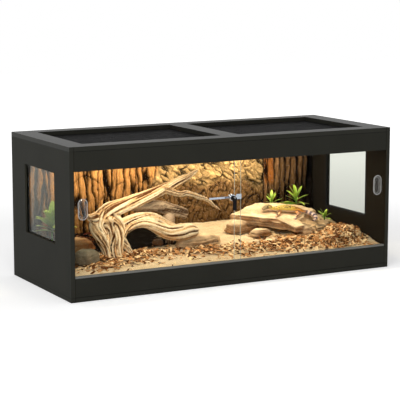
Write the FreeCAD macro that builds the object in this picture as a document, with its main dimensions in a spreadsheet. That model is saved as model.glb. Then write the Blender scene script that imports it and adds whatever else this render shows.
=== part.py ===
"""A wooden terrarium with sliding glass doors, side windows, a meshed top and its furnished inside.

Millimetres. +X runs along the front to the right, +Y to the back, +Z up.
The origin is the middle of the underside. Every size is a cell of the sheet called sizes.
"""
import FreeCAD, Part
import math
import os
import re

import Sketcher

Vector = FreeCAD.Vector

os.makedirs("parts", exist_ok=True)
doc = FreeCAD.newDocument("terrarium")
sizes = doc.addObject("Spreadsheet::Sheet", "sizes")

# Each row holds a size's name, its value or formula, and what it measures.
SIZES = [
    ("width", "1200", "outside, left to right"),
    ("depth", "490", "outside, front to back, without the lock"),
    ("height", "490", "outside"),
    ("board", "15", "thickness of every coated board"),
    ("overrun", "2", "how far a cut runs past the face that it opens"),
    ("top_rail_height", "63", "front rail under the top board"),
    ("bottom_rail_height", "60", "front rail over the base board"),
    ("half_width", "=width / 2", "centre to the outside of a side panel"),
    ("half_depth", "=depth / 2", "centre to the front face"),
    ("inner_half", "=half_width - board", "centre to the inside of a side panel"),
    ("inner_height", "=height - 2 * board", "between the base board and the top board"),
    ("inner_top", "=height - board", "underside of the top board"),
    ("rail_back", "=board - half_depth", "inner face of the front rails"),
    ("sill", "=board + bottom_rail_height", "top of the lower front rail"),
    ("lintel", "=inner_top - top_rail_height", "lower edge of the upper front rail"),
    ("back_thickness", "6", "back panel"),
    ("back_lap", "8", "how far the back panel reaches into the rebates"),
    ("back_face", "=half_depth - back_thickness", "inner face of the back panel"),
    ("back_half", "=inner_half + back_lap", "centre to the side edge of the back panel"),
    # The runners and the panes that slide in them.
    ("glass", "4", "thickness of every pane"),
    ("arris", "0.5", "ground edge of a door pane"),
    ("runner_wall", "1", "outer walls of a runner"),
    ("runner_web", "1.2", "floor of a runner"),
    ("runner_groove", "4.4", "width of each groove"),
    ("runner_middle", "1.6", "wall between the grooves"),
    ("lower_runner_height", "6", "lower runner"),
    ("upper_runner_height", "14", "upper runner, deep enough to lift a pane out"),
    ("runner_width", "=2 * runner_wall + 2 * runner_groove + runner_middle", "over both grooves"),
    ("runner_front", "=rail_back - runner_width", "front face of both runners"),
    ("pane_play", "=(runner_groove - glass) / 2", "room each side of a pane in its groove"),
    ("front_pane", "=runner_front + runner_wall + pane_play", "front face of the right door"),
    ("rear_pane", "=front_pane + runner_groove + runner_middle", "front face of the left door"),
    ("pane_lift", "0.3", "room under a pane"),
    ("pane_engagement", "7", "how far a pane reaches into the upper runner"),
    ("pane_overlap", "28", "how far the doors cover each other when shut"),
    ("pane_side_gap", "1", "a shut door to its side panel"),
    ("pane_base", "=sill + runner_web + pane_lift", "lower edge of the panes"),
    ("pane_height", "=lintel + pane_engagement - pane_base", "door pane"),
    ("pane_width", "=inner_half - pane_side_gap + pane_overlap / 2", "door pane"),
    ("pane_edge", "=pane_overlap / 2", "centre to each door's inner edge"),
    ("handle_rise", "48", "finger pulls and lock, above the middle of the doors' opening"),
    ("handle_height", "=(sill + lintel) / 2 + handle_rise", "finger pulls and lock, over the ground"),
    # The finger pulls.
    ("pull_length", "68", "flange, over the round ends"),
    ("pull_width", "33", "flange, across"),
    ("pull_flange", "1.5", "flange in front of the pane, thinner than the gap between the doors"),
    ("pull_lap", "4", "flange over the edge of the pane's hole"),
    ("pull_fit", "0.2", "around the cup in the pane's hole"),
    ("pull_wall", "3", "wall of the cup"),
    ("pull_floor", "1", "floor of the cup, flush with the back of the pane"),
    ("pull_bevel", "0.6", "bevel of the rim"),
    ("pull_reach", "=(pull_length - pull_width) / 2", "middle of a pull to the middle of its round end"),
    ("cup_radius", "=pull_width / 2 - pull_lap", "round ends of the cup"),
    ("pull_inset", "32", "side panel to the middle of a pull"),
    # The lock on the overlap of the doors.
    ("bar_length", "119", "toothed bar, from the pane's edge"),
    ("bar_height", "7", "toothed bar"),
    ("bar_thickness", "1", "sheet that the bar is pressed from"),
    ("hook_plate", "19", "length of the wide end"),
    ("hook_height", "17", "height of the wide end"),
    ("hook_return", "10", "how far the hook reaches behind the pane"),
    ("tooth_pitch", "3", "along the bar"),
    ("tooth_depth", "1.4", "notches of the bar"),
    ("tooth_count", "22", "notches of the bar"),
    ("barrel_radius", "10.5", "lock barrel"),
    ("barrel_length", "15", "lock barrel"),
    ("barrel_chamfer", "1", "front edge of the barrel"),
    ("barrel_seat", "0.3", "barrel to the edge of the right door"),
    ("barrel_float", "0.4", "barrel to the face of the left door"),
    ("bar_play", "0.4", "around the bar in the barrel's slot"),
    ("plug_radius", "7", "turning plug"),
    ("plug_fit", "0.05", "around the plug in its bore"),
    ("plug_depth", "11", "length of the plug inside the barrel"),
    ("plug_stand", "6", "length of the plug in front of the barrel"),
    ("key_thickness", "2", "key blade"),
    ("key_height", "7", "key blade"),
    ("key_grip", "5", "length of the blade inside the plug"),
    ("key_reach", "6", "plug's face to the fold pin"),
    ("eye_radius", "2.6", "round end of the blade around the pin"),
    ("pin_radius", "1.2", "fold pin"),
    ("pin_fit", "0.05", "around the fold pin"),
    ("head_width", "12", "folding head of the key"),
    ("head_length", "40", "pin to the end of the head"),
    ("head_thickness", "4", "folding head of the key"),
    ("head_slot", "3", "slot of the head around the blade"),
    ("head_throat", "7", "pin to the end of the slot"),
    ("head_round", "1", "rounding of the head"),
    # The side windows.
    ("window_length", "250", "front to back"),
    ("window_sill", "167", "ground to the lower edge"),
    ("window_head", "95", "upper edge to the outside of the top"),
    ("window_height", "=height - window_sill - window_head", "opening"),
    ("window_shift", "4", "middle of the window behind the middle of the panel"),
    ("window_rebate", "8", "rebate around the opening"),
    ("bead", "5", "thickness of the frame that holds the pane"),
    ("window_depth", "=glass + bead", "depth of the rebate from the inside"),
    # The meshed openings of the top board.
    ("opening_margin", "63", "front face to the openings"),
    ("opening_rear", "56", "back to the openings"),
    ("opening_side", "70", "left and right side to the openings"),
    ("centre_bar", "66", "board between the openings"),
    ("opening_length", "=half_width - centre_bar / 2 - opening_side", "left to right"),
    ("opening_depth", "=depth - opening_margin - opening_rear", "front to back"),
    ("mesh_lap", "14", "mesh and frame past the opening"),
    ("mesh_thickness", "0.8", "wire mesh"),
    ("mesh_strand", "4", "strand of the mesh"),
    ("mesh_columns", "15", "gaps along one mesh"),
    ("mesh_rows", "11", "gaps across one mesh"),
    ("mesh_frame", "8", "thickness of the frame under the mesh"),
    # Dowels.
    ("dowel_radius", "4", "wooden dowels"),
    ("dowel_length", "30", "wooden dowels"),
    ("dowel_in_face", "10", "depth of a dowel in a board's face"),
    ("dowel_setback", "30", "upright dowels behind the middle of the side panels"),
    # The inside.
    ("sand_front", "81", "sand surface behind the doors, over the ground"),
    ("sand_rise", "54", "sand surface at the back, over its front"),
    ("backdrop_base", "12", "bark panel at its thinnest"),
    ("backdrop_relief", "22", "columns of the bark panel over their grooves"),
    ("backdrop_gap", "22", "bark panel to the top board"),
    ("backdrop_height", "=inner_height - backdrop_gap", "bark panel"),
    ("limb_girth", "50", "diameter of the driftwood at its thickest"),
    ("leaf_width", "15", "broadest leaf"),
    ("leaf_thickness", "1.6", "leaf at its middle"),
    ("crown_radius", "7", "stem foot of a plant"),
    ("crown_height", "14", "stem foot of a plant"),
]

for row, (alias, value, note) in enumerate(SIZES, 1):
    sizes.set(f"A{row}", alias)
    sizes.set(f"B{row}", value)
    sizes.set(f"C{row}", note)
    sizes.setAlias(f"B{row}", alias)
doc.recompute()

ALIASES = {alias for alias, value, note in SIZES}
NEAR = 1e-6
# A driven length starts at any value, and its rule then sets it.
ANY = 1.0
NODES = []


def size(alias):
    """The value of one cell of the sheet."""
    return float(getattr(sizes, alias))


def rule(text):
    """An expression in which each size's name is read from the sheet."""
    return re.sub(r"[a-z_]+", lambda m: "sizes." + m[0] if m[0] in ALIASES else m[0], text)


def bind(item, **rules):
    """Binds properties of a feature to rules of the sheet."""
    for name, text in rules.items():
        item.setExpression(name, rule(text))
    return item


def place(item, x="0", y="0", z="0"):
    """Binds a feature's place to rules of the sheet."""
    for axis, text in zip("xyz", (x, y, z)):
        item.setExpression("Placement.Base." + axis, rule(text))
    return item


def node(item, label):
    """Marks a feature as a finished piece, exported under its label."""
    item.Label = label
    NODES.append(item)
    return item


def block(name, corner, extent):
    """A box from its lowest corner and its lengths along X, Y and Z."""
    box = doc.addObject("Part::Box", name)
    bind(box, Length=extent[0], Width=extent[1], Height=extent[2])
    return place(box, *corner)


TURNS = {
    "X": FreeCAD.Rotation(Vector(0, 1, 0), 90),
    "Y": FreeCAD.Rotation(Vector(1, 0, 0), -90),
    "Z": FreeCAD.Rotation(),
}


def rod(name, axis, start, radius, length):
    """A cylinder from the middle of its lower end, along a positive axis."""
    cylinder = doc.addObject("Part::Cylinder", name)
    cylinder.Placement = FreeCAD.Placement(Vector(), TURNS[axis])
    bind(cylinder, Radius=radius, Height=length)
    return place(cylinder, *start)


def group(name, items):
    """Several separate solids in one piece."""
    compound = doc.addObject("Part::Compound", name)
    compound.Links = items
    return compound


def carve(label, base, cuts):
    """A finished piece: the base without the cuts."""
    tool = cuts[0]
    if len(cuts) > 1:
        tool = doc.addObject("Part::MultiFuse", label + "_cuts")
        tool.Shapes = cuts
    cut = doc.addObject("Part::Cut", label)
    cut.Base = base
    cut.Tool = tool
    return node(cut, label)


# Sketched pieces.


def new_body(label):
    """A PartDesign body that is a finished piece."""
    return node(doc.addObject("PartDesign::Body", label), label)


def sketch_on(body, plane, name, offset="0", across="0", up="0"):
    """A sketch on one of the body's own origin planes, moved along the plane's normal and in the plane."""
    sketch = body.newObject("Sketcher::SketchObject", f"{body.Name}_{name}")
    sketch.AttachmentSupport = (plane_of(body, plane), [""])
    sketch.MapMode = "FlatFace"
    for axis, text in zip("xyz", (across, up, offset)):
        sketch.setExpression("AttachmentOffset.Base." + axis, rule(text))
    return sketch


def plane_of(body, plane):
    """An origin plane or axis of a body, by its role."""
    return next(f for f in body.Origin.OriginFeatures if f.Role == plane)


def fix(sketch, kind, where, text):
    """A driven length of a sketch, bound to a rule of the sheet."""
    index = sketch.addConstraint(Sketcher.Constraint(kind, *where, ANY))
    sketch.setExpression(f"Constraints[{index}]", rule(text))


def outline(sketch, corners):
    """A closed outline of straight lines through corners given as rules."""
    count = len(corners)
    ring = [Vector(math.cos(k * math.tau / count), math.sin(k * math.tau / count), 0) for k in range(count)]
    for k in range(count):
        sketch.addGeometry(Part.LineSegment(ring[k], ring[(k + 1) % count]), False)
    for k in range(count):
        sketch.addConstraint(Sketcher.Constraint("Coincident", k, 2, (k + 1) % count, 1))
    for k, (x, y) in enumerate(corners):
        fix(sketch, "DistanceX", (-1, 1, k, 1), x)
        fix(sketch, "DistanceY", (-1, 1, k, 1), y)
    return sketch


def rectangle(sketch, half_x, half_y):
    """A rectangle about the sketch's origin."""
    low_x, low_y = f"-({half_x})", f"-({half_y})"
    return outline(sketch, [(low_x, low_y), (half_x, low_y), (half_x, half_y), (low_x, half_y)])


def circle(sketch, radius, x="0", y="0"):
    """A circle about a point given as rules."""
    sketch.addGeometry(Part.Circle(Vector(), Vector(0, 0, 1), 1), False)
    fix(sketch, "DistanceX", (-1, 1, 0, 3), x)
    fix(sketch, "DistanceY", (-1, 1, 0, 3), y)
    fix(sketch, "Radius", (0,), radius)
    return sketch


def stadium(sketch, radius, reach):
    """An upright slot about the origin: two half circles whose centres lie reach above and below."""
    up, side = Vector(0, 1, 0), Vector(1, 0, 0)
    sketch.addGeometry(Part.Arc(up + side, up + up, up - side), False)
    sketch.addGeometry(Part.LineSegment(up - side, -up - side), False)
    sketch.addGeometry(Part.Arc(-up - side, -up - up, -up + side), False)
    sketch.addGeometry(Part.LineSegment(-up + side, up + side), False)
    for k in range(4):
        sketch.addConstraint(Sketcher.Constraint("Tangent", *end_of(k), *start_of((k + 1) % 4)))
    for arc, sign in ((0, ""), (2, "-")):
        fix(sketch, "DistanceX", (-1, 1, arc, 3), "0")
        fix(sketch, "DistanceY", (-1, 1, arc, 3), f"{sign}({reach})")
    fix(sketch, "Radius", (0,), radius)
    sketch.addConstraint(Sketcher.Constraint("Equal", 0, 2))
    return sketch


def end_of(k):
    """The last point of a slot's edge."""
    return (k, 2)


def start_of(k):
    """The first point of a slot's edge."""
    return (k, 1)


def pad(body, sketch, length, midplane=False, backwards=False):
    """Pads a sketch by a rule of the sheet."""
    feature = body.newObject("PartDesign::Pad", sketch.Name + "_pad")
    feature.Profile = sketch
    feature.Midplane = midplane
    feature.Reversed = backwards
    return bind(feature, Length=length)


def pocket(body, sketch, length, midplane=False, backwards=False):
    """Cuts a sketch into the body by a rule of the sheet."""
    feature = body.newObject("PartDesign::Pocket", sketch.Name + "_pocket")
    feature.Profile = sketch
    feature.Midplane = midplane
    feature.Reversed = backwards
    return bind(feature, Length=length)


def revolve(body, sketch):
    """Turns a sketch once about its upright axis."""
    feature = body.newObject("PartDesign::Revolution", sketch.Name + "_turned")
    feature.Profile = sketch
    feature.ReferenceAxis = (sketch, ["V_Axis"])
    feature.Angle = 360
    return feature


def edges_along(shape, direction, longer):
    """The names of a shape's straight edges along a direction that are longer than a length."""
    names = []
    for k, edge in enumerate(shape.Edges, 1):
        if edge.Curve.TypeId == "Part::GeomLine" and edge.Length > longer:
            if abs(edge.Curve.Direction.dot(direction)) > 1 - NEAR:
                names.append(f"Edge{k}")
    return names


def dress(body, kind, name, edges, amount):
    """A fillet or chamfer on named edges of the body's last feature."""
    base = body.Tip
    feature = body.newObject("PartDesign::" + kind, f"{body.Name}_{name}")
    feature.Base = (base, edges)
    bind(feature, **{"Radius" if kind == "Fillet" else "Size": amount})
    return feature


# The cabinet.

SIDES = ("left", "right")
PANES = {"left": "rear_pane", "right": "front_pane"}


def dowel_sites():
    """Where each dowel starts: its axis, and rules for x, y and z."""
    sites = []
    for side in ("-", ""):
        x = f"{side}(inner_half + board / 2)"
        sites.append(("Z", (x, "dowel_setback", "board - dowel_in_face")))
        sites.append(("Z", (x, "dowel_setback", "inner_top + dowel_in_face - dowel_length")))
    return sites


def dowel_set(name):
    """One rod for each dowel."""
    return [rod(f"{name}_{k}", axis, start, "dowel_radius", "dowel_length")
            for k, (axis, start) in enumerate(dowel_sites())]


def dowel_holes(name):
    """The dowels' bores, as one tool."""
    return group(name, dowel_set(name + "_bore"))


def base_panel():
    """The board that everything stands on."""
    board = block("base_board", ("-half_width", "-half_depth", "0"), ("width", "depth", "board"))
    rebate = block("base_rebate", ("-back_half", "back_face", "board - back_lap"),
                   ("2 * back_half", "back_thickness + overrun", "back_lap + overrun"))
    carve("base_panel", board, [rebate, dowel_holes("base_dowels")])


def side_panel(side):
    """A side board with its window, the window's rebate and the step for the back panel."""
    left = side == "left"
    board = block(f"{side}_board", ("-half_width" if left else "inner_half", "-half_depth", "board"),
                  ("board", "depth", "inner_height"))
    window = block(f"{side}_window", ("-half_width - overrun" if left else "inner_half - overrun",
                                      "window_shift - window_length / 2", "window_sill"),
                   ("board + 2 * overrun", "window_length", "window_height"))
    rebate = block(f"{side}_window_rebate",
                   ("-inner_half - window_depth" if left else "inner_half - overrun",
                    "window_shift - window_length / 2 - window_rebate", "window_sill - window_rebate"),
                   ("window_depth + overrun", "window_length + 2 * window_rebate",
                    "window_height + 2 * window_rebate"))
    step = block(f"{side}_rebate",
                 ("-back_half" if left else "inner_half - overrun", "back_face", "board - overrun"),
                 ("back_lap + overrun", "back_thickness + overrun", "inner_height + 2 * overrun"))
    carve(f"{side}_side_panel", board,
          [window, rebate, step, dowel_holes(f"{side}_dowels")])


def top_frame():
    """The top board with its two large openings."""
    board = block("top_board", ("-half_width", "-half_depth", "inner_top"), ("width", "depth", "board"))
    low = ("opening_margin - half_depth", "inner_top - overrun")
    cuts = [block(f"{side}_opening", (opening_start(side), *low),
                  ("opening_length", "opening_depth", "board + 2 * overrun")) for side in SIDES]
    cuts.append(block("top_rebate", ("-back_half", "back_face", "inner_top - overrun"),
                      ("2 * back_half", "back_thickness + overrun", "back_lap + overrun")))
    cuts.append(dowel_holes("top_dowels"))
    carve("top_frame", board, cuts)


def opening_start(side):
    """Rule for the left edge of a top opening."""
    return "-(centre_bar / 2 + opening_length)" if side == "left" else "centre_bar / 2"


def front_rails():
    """The two rails of the front, and the strip that hides the upper runner."""
    node(block("front_bottom_rail", ("-inner_half", "-half_depth", "board"),
               ("2 * inner_half", "board", "bottom_rail_height")), "front_bottom_rail")
    node(block("front_top_rail", ("-inner_half", "-half_depth", "lintel + upper_runner_height"),
               ("2 * inner_half", "board", "top_rail_height - upper_runner_height")), "front_top_rail")
    node(block("runner_cover", ("-inner_half", "-half_depth", "lintel"),
               ("2 * inner_half", "runner_front + half_depth", "upper_runner_height")), "runner_cover")


def back_panel():
    """The thin back in the boards' rebates."""
    node(block("back_panel", ("-back_half", "back_face", "board - back_lap"),
               ("2 * back_half", "back_thickness", "inner_height + 2 * back_lap")), "back_panel")


def edge_dowels():
    """The wooden dowels that pin the boards together."""
    node(group("edge_dowels", dowel_set("dowel")), "edge_dowels")


def runner(label, base, height, mouth):
    """A plastic runner with a groove for each door. mouth is where its grooves start."""
    length = ("-inner_half", "2 * inner_half")
    body = block(f"{label}_body", (length[0], "runner_front", base), (length[1], "runner_width", height))
    grooves = [block(f"{label}_groove_{k}", (f"{length[0]} - overrun", y, mouth),
                     (f"{length[1]} + 2 * overrun", "runner_groove", f"{height} - runner_web + overrun"))
               for k, y in enumerate(("runner_front + runner_wall",
                                      "runner_front + runner_wall + runner_groove + runner_middle"))]
    carve(label, body, grooves)


PULL_X = "(inner_half - pull_inset)"


def door(side):
    """A glass door with ground edges and a hole for its finger pull, on the place where it slides."""
    sign = "-" if side == "left" else ""
    body = new_body(f"{side}_glass_door")
    middle, level = "(pane_width / 2 - pane_edge)", "pane_base + pane_height / 2"
    place(body, sign + middle, PANES[side], level)
    sketch = rectangle(sketch_on(body, "XZ_Plane", "face"), "pane_width / 2", "pane_height / 2")
    pad(body, sketch, "glass", backwards=True)
    doc.recompute()
    edges = edges_along(body.Shape, Vector(0, 0, 1), size("glass")) + \
        edges_along(body.Shape, Vector(1, 0, 0), size("glass"))
    dress(body, "Chamfer", "arris", edges, "arris")
    doc.recompute()
    hole = sketch_on(body, "XZ_Plane", "hole", across=f"{sign}({PULL_X} - {middle})",
                     up=f"handle_height - ({level})")
    pocket(body, stadium(hole, "cup_radius + pull_fit", "pull_reach"), "glass + overrun")


def finger_pull(side):
    """A finger pull: a flat flange on the pane, and a cup that reaches through the pane's hole."""
    pull = new_body(f"{side}_finger_pull")
    place(pull, ("-" if side == "left" else "") + PULL_X, PANES[side], "handle_height")
    pad(pull, stadium(sketch_on(pull, "XZ_Plane", "flange"), "pull_width / 2", "pull_reach"), "pull_flange")
    cup = stadium(sketch_on(pull, "XZ_Plane", "cup"), "cup_radius", "pull_reach")
    pad(pull, cup, "glass", backwards=True)
    doc.recompute()
    recess = sketch_on(pull, "XZ_Plane", "recess", "pull_flange")
    pocket(pull, stadium(recess, "cup_radius - pull_wall", "pull_reach"), "pull_flange + glass - pull_floor")
    doc.recompute()
    front = size(PANES[side]) - size("pull_flange")
    rims = [f"Edge{k}" for k, edge in enumerate(pull.Shape.Edges, 1)
            if max(abs(edge.BoundBox.YMin - front), abs(edge.BoundBox.YMax - front)) < NEAR]
    dress(pull, "Chamfer", "bevel", rims, "pull_bevel")


# The lock.


def lock_bar():
    """The toothed bar: it hooks round the left door's edge and lies on that door's face."""
    body = new_body("lock_bar")
    place(body, "pane_edge", "rear_pane", "handle_height")
    strip = outline(sketch_on(body, "XZ_Plane", "strip"), [
        ("-bar_length", "-bar_height / 2"), ("-hook_plate", "-bar_height / 2"),
        ("-hook_plate", "-hook_height / 2"), ("bar_thickness", "-hook_height / 2"),
        ("bar_thickness", "hook_height / 2"), ("-hook_plate", "hook_height / 2"),
        ("-hook_plate", "bar_height / 2"), ("-bar_length", "bar_height / 2")])
    pad(body, strip, "bar_thickness")
    hook = outline(sketch_on(body, "XY_Plane", "hook"), [
        ("0", "-bar_thickness"), ("bar_thickness", "-bar_thickness"),
        ("bar_thickness", "glass + bar_thickness"),
        ("-hook_return", "glass + bar_thickness"), ("-hook_return", "glass"), ("0", "glass")])
    pad(body, hook, "hook_height", midplane=True)
    doc.recompute()
    notch = outline(sketch_on(body, "XZ_Plane", "notch"), [
        ("tooth_pitch - bar_length", "bar_height / 2 - tooth_depth"),
        ("2 * tooth_pitch - bar_length", "bar_height / 2"),
        ("2 * tooth_pitch - bar_length", "bar_height / 2 + overrun"),
        ("tooth_pitch - bar_length", "bar_height / 2 + overrun")])
    cut = pocket(body, notch, "bar_thickness + overrun", backwards=True)
    doc.recompute()
    row = body.newObject("PartDesign::LinearPattern", "lock_bar_teeth")
    row.Originals = [cut]
    row.Direction = (notch, ["H_Axis"])
    row.Occurrences = int(size("tooth_count"))
    bind(row, Length="(tooth_count - 1) * tooth_pitch")
    body.Tip = row


BARREL_BACK = "rear_pane - barrel_float"
BARREL_X = "-(pane_edge + barrel_seat + barrel_radius)"


def lock_barrel():
    """The barrel: it butts against the right door's edge, and the bar runs through the slot in its back."""
    body = new_body("lock_barrel")
    place(body, BARREL_X, BARREL_BACK, "handle_height")
    bore = "plug_radius + plug_fit"
    half = outline(sketch_on(body, "XY_Plane", "profile"), [
        ("0", "0"), ("0", "-(barrel_length - plug_depth)"), (bore, "-(barrel_length - plug_depth)"),
        (bore, "-barrel_length"), ("barrel_radius - barrel_chamfer", "-barrel_length"),
        ("barrel_radius", "-(barrel_length - barrel_chamfer)"), ("barrel_radius", "0")])
    revolve(body, half)
    doc.recompute()
    slot = rectangle(sketch_on(body, "XZ_Plane", "slot"),
                     "barrel_radius + overrun", "bar_height / 2 + bar_play")
    pocket(body, slot, "bar_thickness", backwards=True)


def lock_plug():
    """The plug that the key turns in the barrel, with the key's slot in its face."""
    body = new_body("lock_plug")
    place(body, BARREL_X, f"{BARREL_BACK} - barrel_length", "handle_height")
    half = outline(sketch_on(body, "XY_Plane", "profile"), [
        ("0", "plug_depth - plug_fit"), ("plug_radius", "plug_depth - plug_fit"),
        ("plug_radius", "-(plug_stand - barrel_chamfer)"), ("plug_radius - barrel_chamfer", "-plug_stand"),
        ("0", "-plug_stand")])
    revolve(body, half)
    doc.recompute()
    slot = rectangle(sketch_on(body, "XZ_Plane", "slot", "plug_stand"), "key_thickness / 2", "key_height / 2")
    pocket(body, slot, "key_grip")


PIN_Y = f"{BARREL_BACK} - barrel_length - plug_stand - key_reach"


def key():
    """The key: a blade held in the plug, with an eye for the fold pin, and the head that hangs from it."""
    body = new_body("key_blade")
    place(body, BARREL_X, PIN_Y, "handle_height")
    side = outline(sketch_on(body, "YZ_Plane", "blade"), [
        ("0", "-eye_radius"), ("key_reach", "-key_height / 2"), ("key_reach + key_grip", "-key_height / 2"),
        ("key_reach + key_grip", "key_height / 2"), ("key_reach", "key_height / 2"), ("0", "eye_radius")])
    pad(body, side, "key_thickness", midplane=True)
    pad(body, circle(sketch_on(body, "YZ_Plane", "eye"), "eye_radius"), "key_thickness", midplane=True)
    doc.recompute()
    hole = circle(sketch_on(body, "YZ_Plane", "eye_hole"), "pin_radius + pin_fit")
    pocket(body, hole, "key_thickness + overrun", midplane=True)

    head = new_body("key_head")
    place(head, BARREL_X, PIN_Y, "handle_height")
    face = outline(sketch_on(head, "XZ_Plane", "face"), [
        ("-head_width / 2", "-head_length"), ("head_width / 2", "-head_length"),
        ("head_width / 2", "eye_radius"), ("-head_width / 2", "eye_radius")])
    pad(head, face, "head_thickness", midplane=True)
    doc.recompute()
    throat = outline(sketch_on(head, "XZ_Plane", "throat"), [
        ("-head_slot / 2", "-head_throat"), ("head_slot / 2", "-head_throat"),
        ("head_slot / 2", "eye_radius + overrun"), ("-head_slot / 2", "eye_radius + overrun")])
    pocket(head, throat, "head_thickness + overrun", midplane=True)
    doc.recompute()
    corners = edges_along(head.Shape, Vector(0, 1, 0), size("head_thickness") - size("head_round"))
    shoulder = size("handle_height") - size("head_throat")
    outer = [name for name in corners
             if head.Shape.Edges[int(name[4:]) - 1].BoundBox.ZMax < shoulder
             - size("head_round")]
    dress(head, "Fillet", "round", outer, "head_round")
    doc.recompute()
    pin = circle(sketch_on(head, "YZ_Plane", "pin"), "pin_radius")
    pad(head, pin, "head_slot + head_round", midplane=True)


# Windows and meshes.


def window(side):
    """A side window: its pane lies in the rebate and a frame of beads holds it."""
    left = side == "left"
    low = ("window_shift - window_length / 2 - window_rebate", "window_sill - window_rebate")
    extent = ("window_length + 2 * window_rebate", "window_height + 2 * window_rebate")
    outer = "-(inner_half + window_depth)" if left else "inner_half + bead"
    pane = block(f"{side}_window_pane", (outer, *low),
                 ("glass", *extent))
    node(pane, f"{side}_window_pane")
    ring = block(f"{side}_bead_ring",
                 ("-(inner_half + bead)" if left else "inner_half", *low), ("bead", *extent))
    gap = block(f"{side}_bead_gap", ("-(inner_half + bead + overrun)" if left else "inner_half - overrun",
                                     "window_shift - window_length / 2", "window_sill"),
                ("bead + 2 * overrun", "window_length", "window_height"))
    carve(f"{side}_window_beads", ring, [gap])


def mesh_low(side):
    """Rules for the lowest corner of a mesh."""
    return f"{opening_start(side)} - mesh_lap", "opening_margin - half_depth - mesh_lap"


MESH_FRAME_BASE = "inner_top - mesh_thickness - mesh_frame"


def mesh(side):
    """The mesh: one sheet with square gaps and a plain border, from the sheet's own sizes."""
    lap, strand = size("mesh_lap"), size("mesh_strand")
    length, depth = size("opening_length"), size("opening_depth")
    columns, rows = int(size("mesh_columns")), int(size("mesh_rows"))
    step_x, step_y = length / columns, depth / rows
    wires = [Part.makePolygon(square(-lap, -lap, length + lap, depth + lap))]
    for i in range(columns):
        for j in range(rows):
            x, y = i * step_x + strand / 2, j * step_y + strand / 2
            wires.append(Part.makePolygon(square(x, y, x + step_x - strand, y + step_y - strand)))
    sheet = doc.addObject("Part::Feature", f"{side}_mesh")
    face = Part.makeFace(wires, "Part::FaceMakerBullseye")
    sheet.Shape = face.extrude(Vector(0, 0, size("mesh_thickness")))
    place(sheet, opening_start(side), "opening_margin - half_depth", "inner_top - mesh_thickness")
    node(sheet, f"{side}_mesh")


def square(x0, y0, x1, y1):
    """The closed corners of a flat rectangle."""
    return [Vector(x, y, 0) for x, y in ((x0, y0), (x1, y0), (x1, y1), (x0, y1), (x0, y0))]


def mesh_frame(side):
    """The plastic frame that clamps a mesh under the top board."""
    x0, y0 = mesh_low(side)
    ring = block(f"{side}_ring", (x0, y0, MESH_FRAME_BASE),
                 ("opening_length + 2 * mesh_lap", "opening_depth + 2 * mesh_lap", "mesh_frame"))
    gap = block(f"{side}_ring_gap", (opening_start(side), "opening_margin - half_depth",
                                     f"{MESH_FRAME_BASE} - overrun"),
                ("opening_length", "opening_depth", "mesh_frame + 2 * overrun"))
    carve(f"{side}_mesh_frame", ring, [gap])


# The inside. Places are shares: across from the middle, back from the doors, up from the sand.


def spot(across, back, lift):
    """A point inside the cabinet, from its shares."""
    run = size("back_face") - size("rail_back")
    sand = size("sand_front") + back * size("sand_rise")
    return Vector(across * size("inner_half"), size("rail_back") + back * run,
                  sand + lift * size("inner_height"))


def lofted(rings):
    """A solid of flat facets through rings of as many corners each."""
    faces = []
    for low, high in zip(rings, rings[1:]):
        for k in range(len(low)):
            n = (k + 1) % len(low)
            faces += [facet(low[k], low[n], high[n]), facet(low[k], high[n], high[k])]
    for ring in (rings[0], rings[-1]):
        middle = sum(ring, Vector()) * (1 / len(ring))
        faces += [facet(ring[k], ring[(k + 1) % len(ring)], middle) for k in range(len(ring))]
    return closed(faces)


def facet(a, b, c):
    """A flat triangle."""
    return Part.Face(Part.makePolygon([a, b, c, a]))


def closed(faces):
    """The solid inside a closed skin of facets."""
    solid = Part.makeSolid(Part.makeShell(faces))
    if solid.Volume < 0:
        solid.reverse()
    return solid


LIMB_SIDES = 8
# Past this cosine a limb counts as upright, and its rings start from another direction.
UPRIGHT = 0.9


def limb(path, ends):
    """A bent stem through spots. ends are its thickness at each spot, as shares of the driftwood's girth."""
    points = [spot(*p) for p in path]
    side = Vector(0, 0, 1)
    rings = []
    for k, point in enumerate(points):
        along = (points[min(k + 1, len(points) - 1)] - points[max(k - 1, 0)]).normalize()
        if k == 0 and abs(along.dot(side)) > UPRIGHT:
            side = Vector(1, 0, 0)
        side = (side - along * side.dot(along)).normalize()
        other = along.cross(side)
        radius = ends[k] * size("limb_girth") / 2
        rings.append([point + side * (radius * math.cos(a)) + other * (radius * math.sin(a))
                      for a in (j * math.tau / LIMB_SIDES for j in range(LIMB_SIDES))])
    return lofted(rings)


def formed(name, shape):
    """A feature that holds a shape made from the sheet's sizes."""
    feature = doc.addObject("Part::Feature", name)
    feature.Shape = shape
    return feature


def settle(label, shape, *against):
    """A finished piece of the inside, cut by the pieces that it stands in or leans on."""
    touched = [doc.getObject(name) for name in against]
    cuts = touched if len(touched) == 1 else [group(label + "_seats", touched)]
    carve(label, formed(label + "_form", shape), cuts)


# The bark panel from left to right: share of the half width, and share of the relief.
BARK_SHARES = [
    (-1, 0.5), (-0.93, 0.9), (-0.85, 0.6), (-0.8, 0.1), (-0.75, 0.8), (-0.66, 1), (-0.58, 0.7), (-0.55, 0.15),
    (-0.5, 0.75), (-0.45, 0.85), (-0.42, 0.05), (-0.38, 0.8), (-0.3, 0.95), (-0.2, 0.7), (-0.12, 0.35),
    (-0.05, 0.55), (0.05, 0.7), (0.15, 0.5), (0.25, 0.8), (0.35, 0.6), (0.45, 0.75), (0.52, 0.4), (0.56, 0.8),
    (0.64, 1), (0.71, 0.75), (0.74, 0.1), (0.79, 0.7), (0.86, 0.9), (0.92, 0.7), (0.96, 0.3), (1, 0.6),
]


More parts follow.
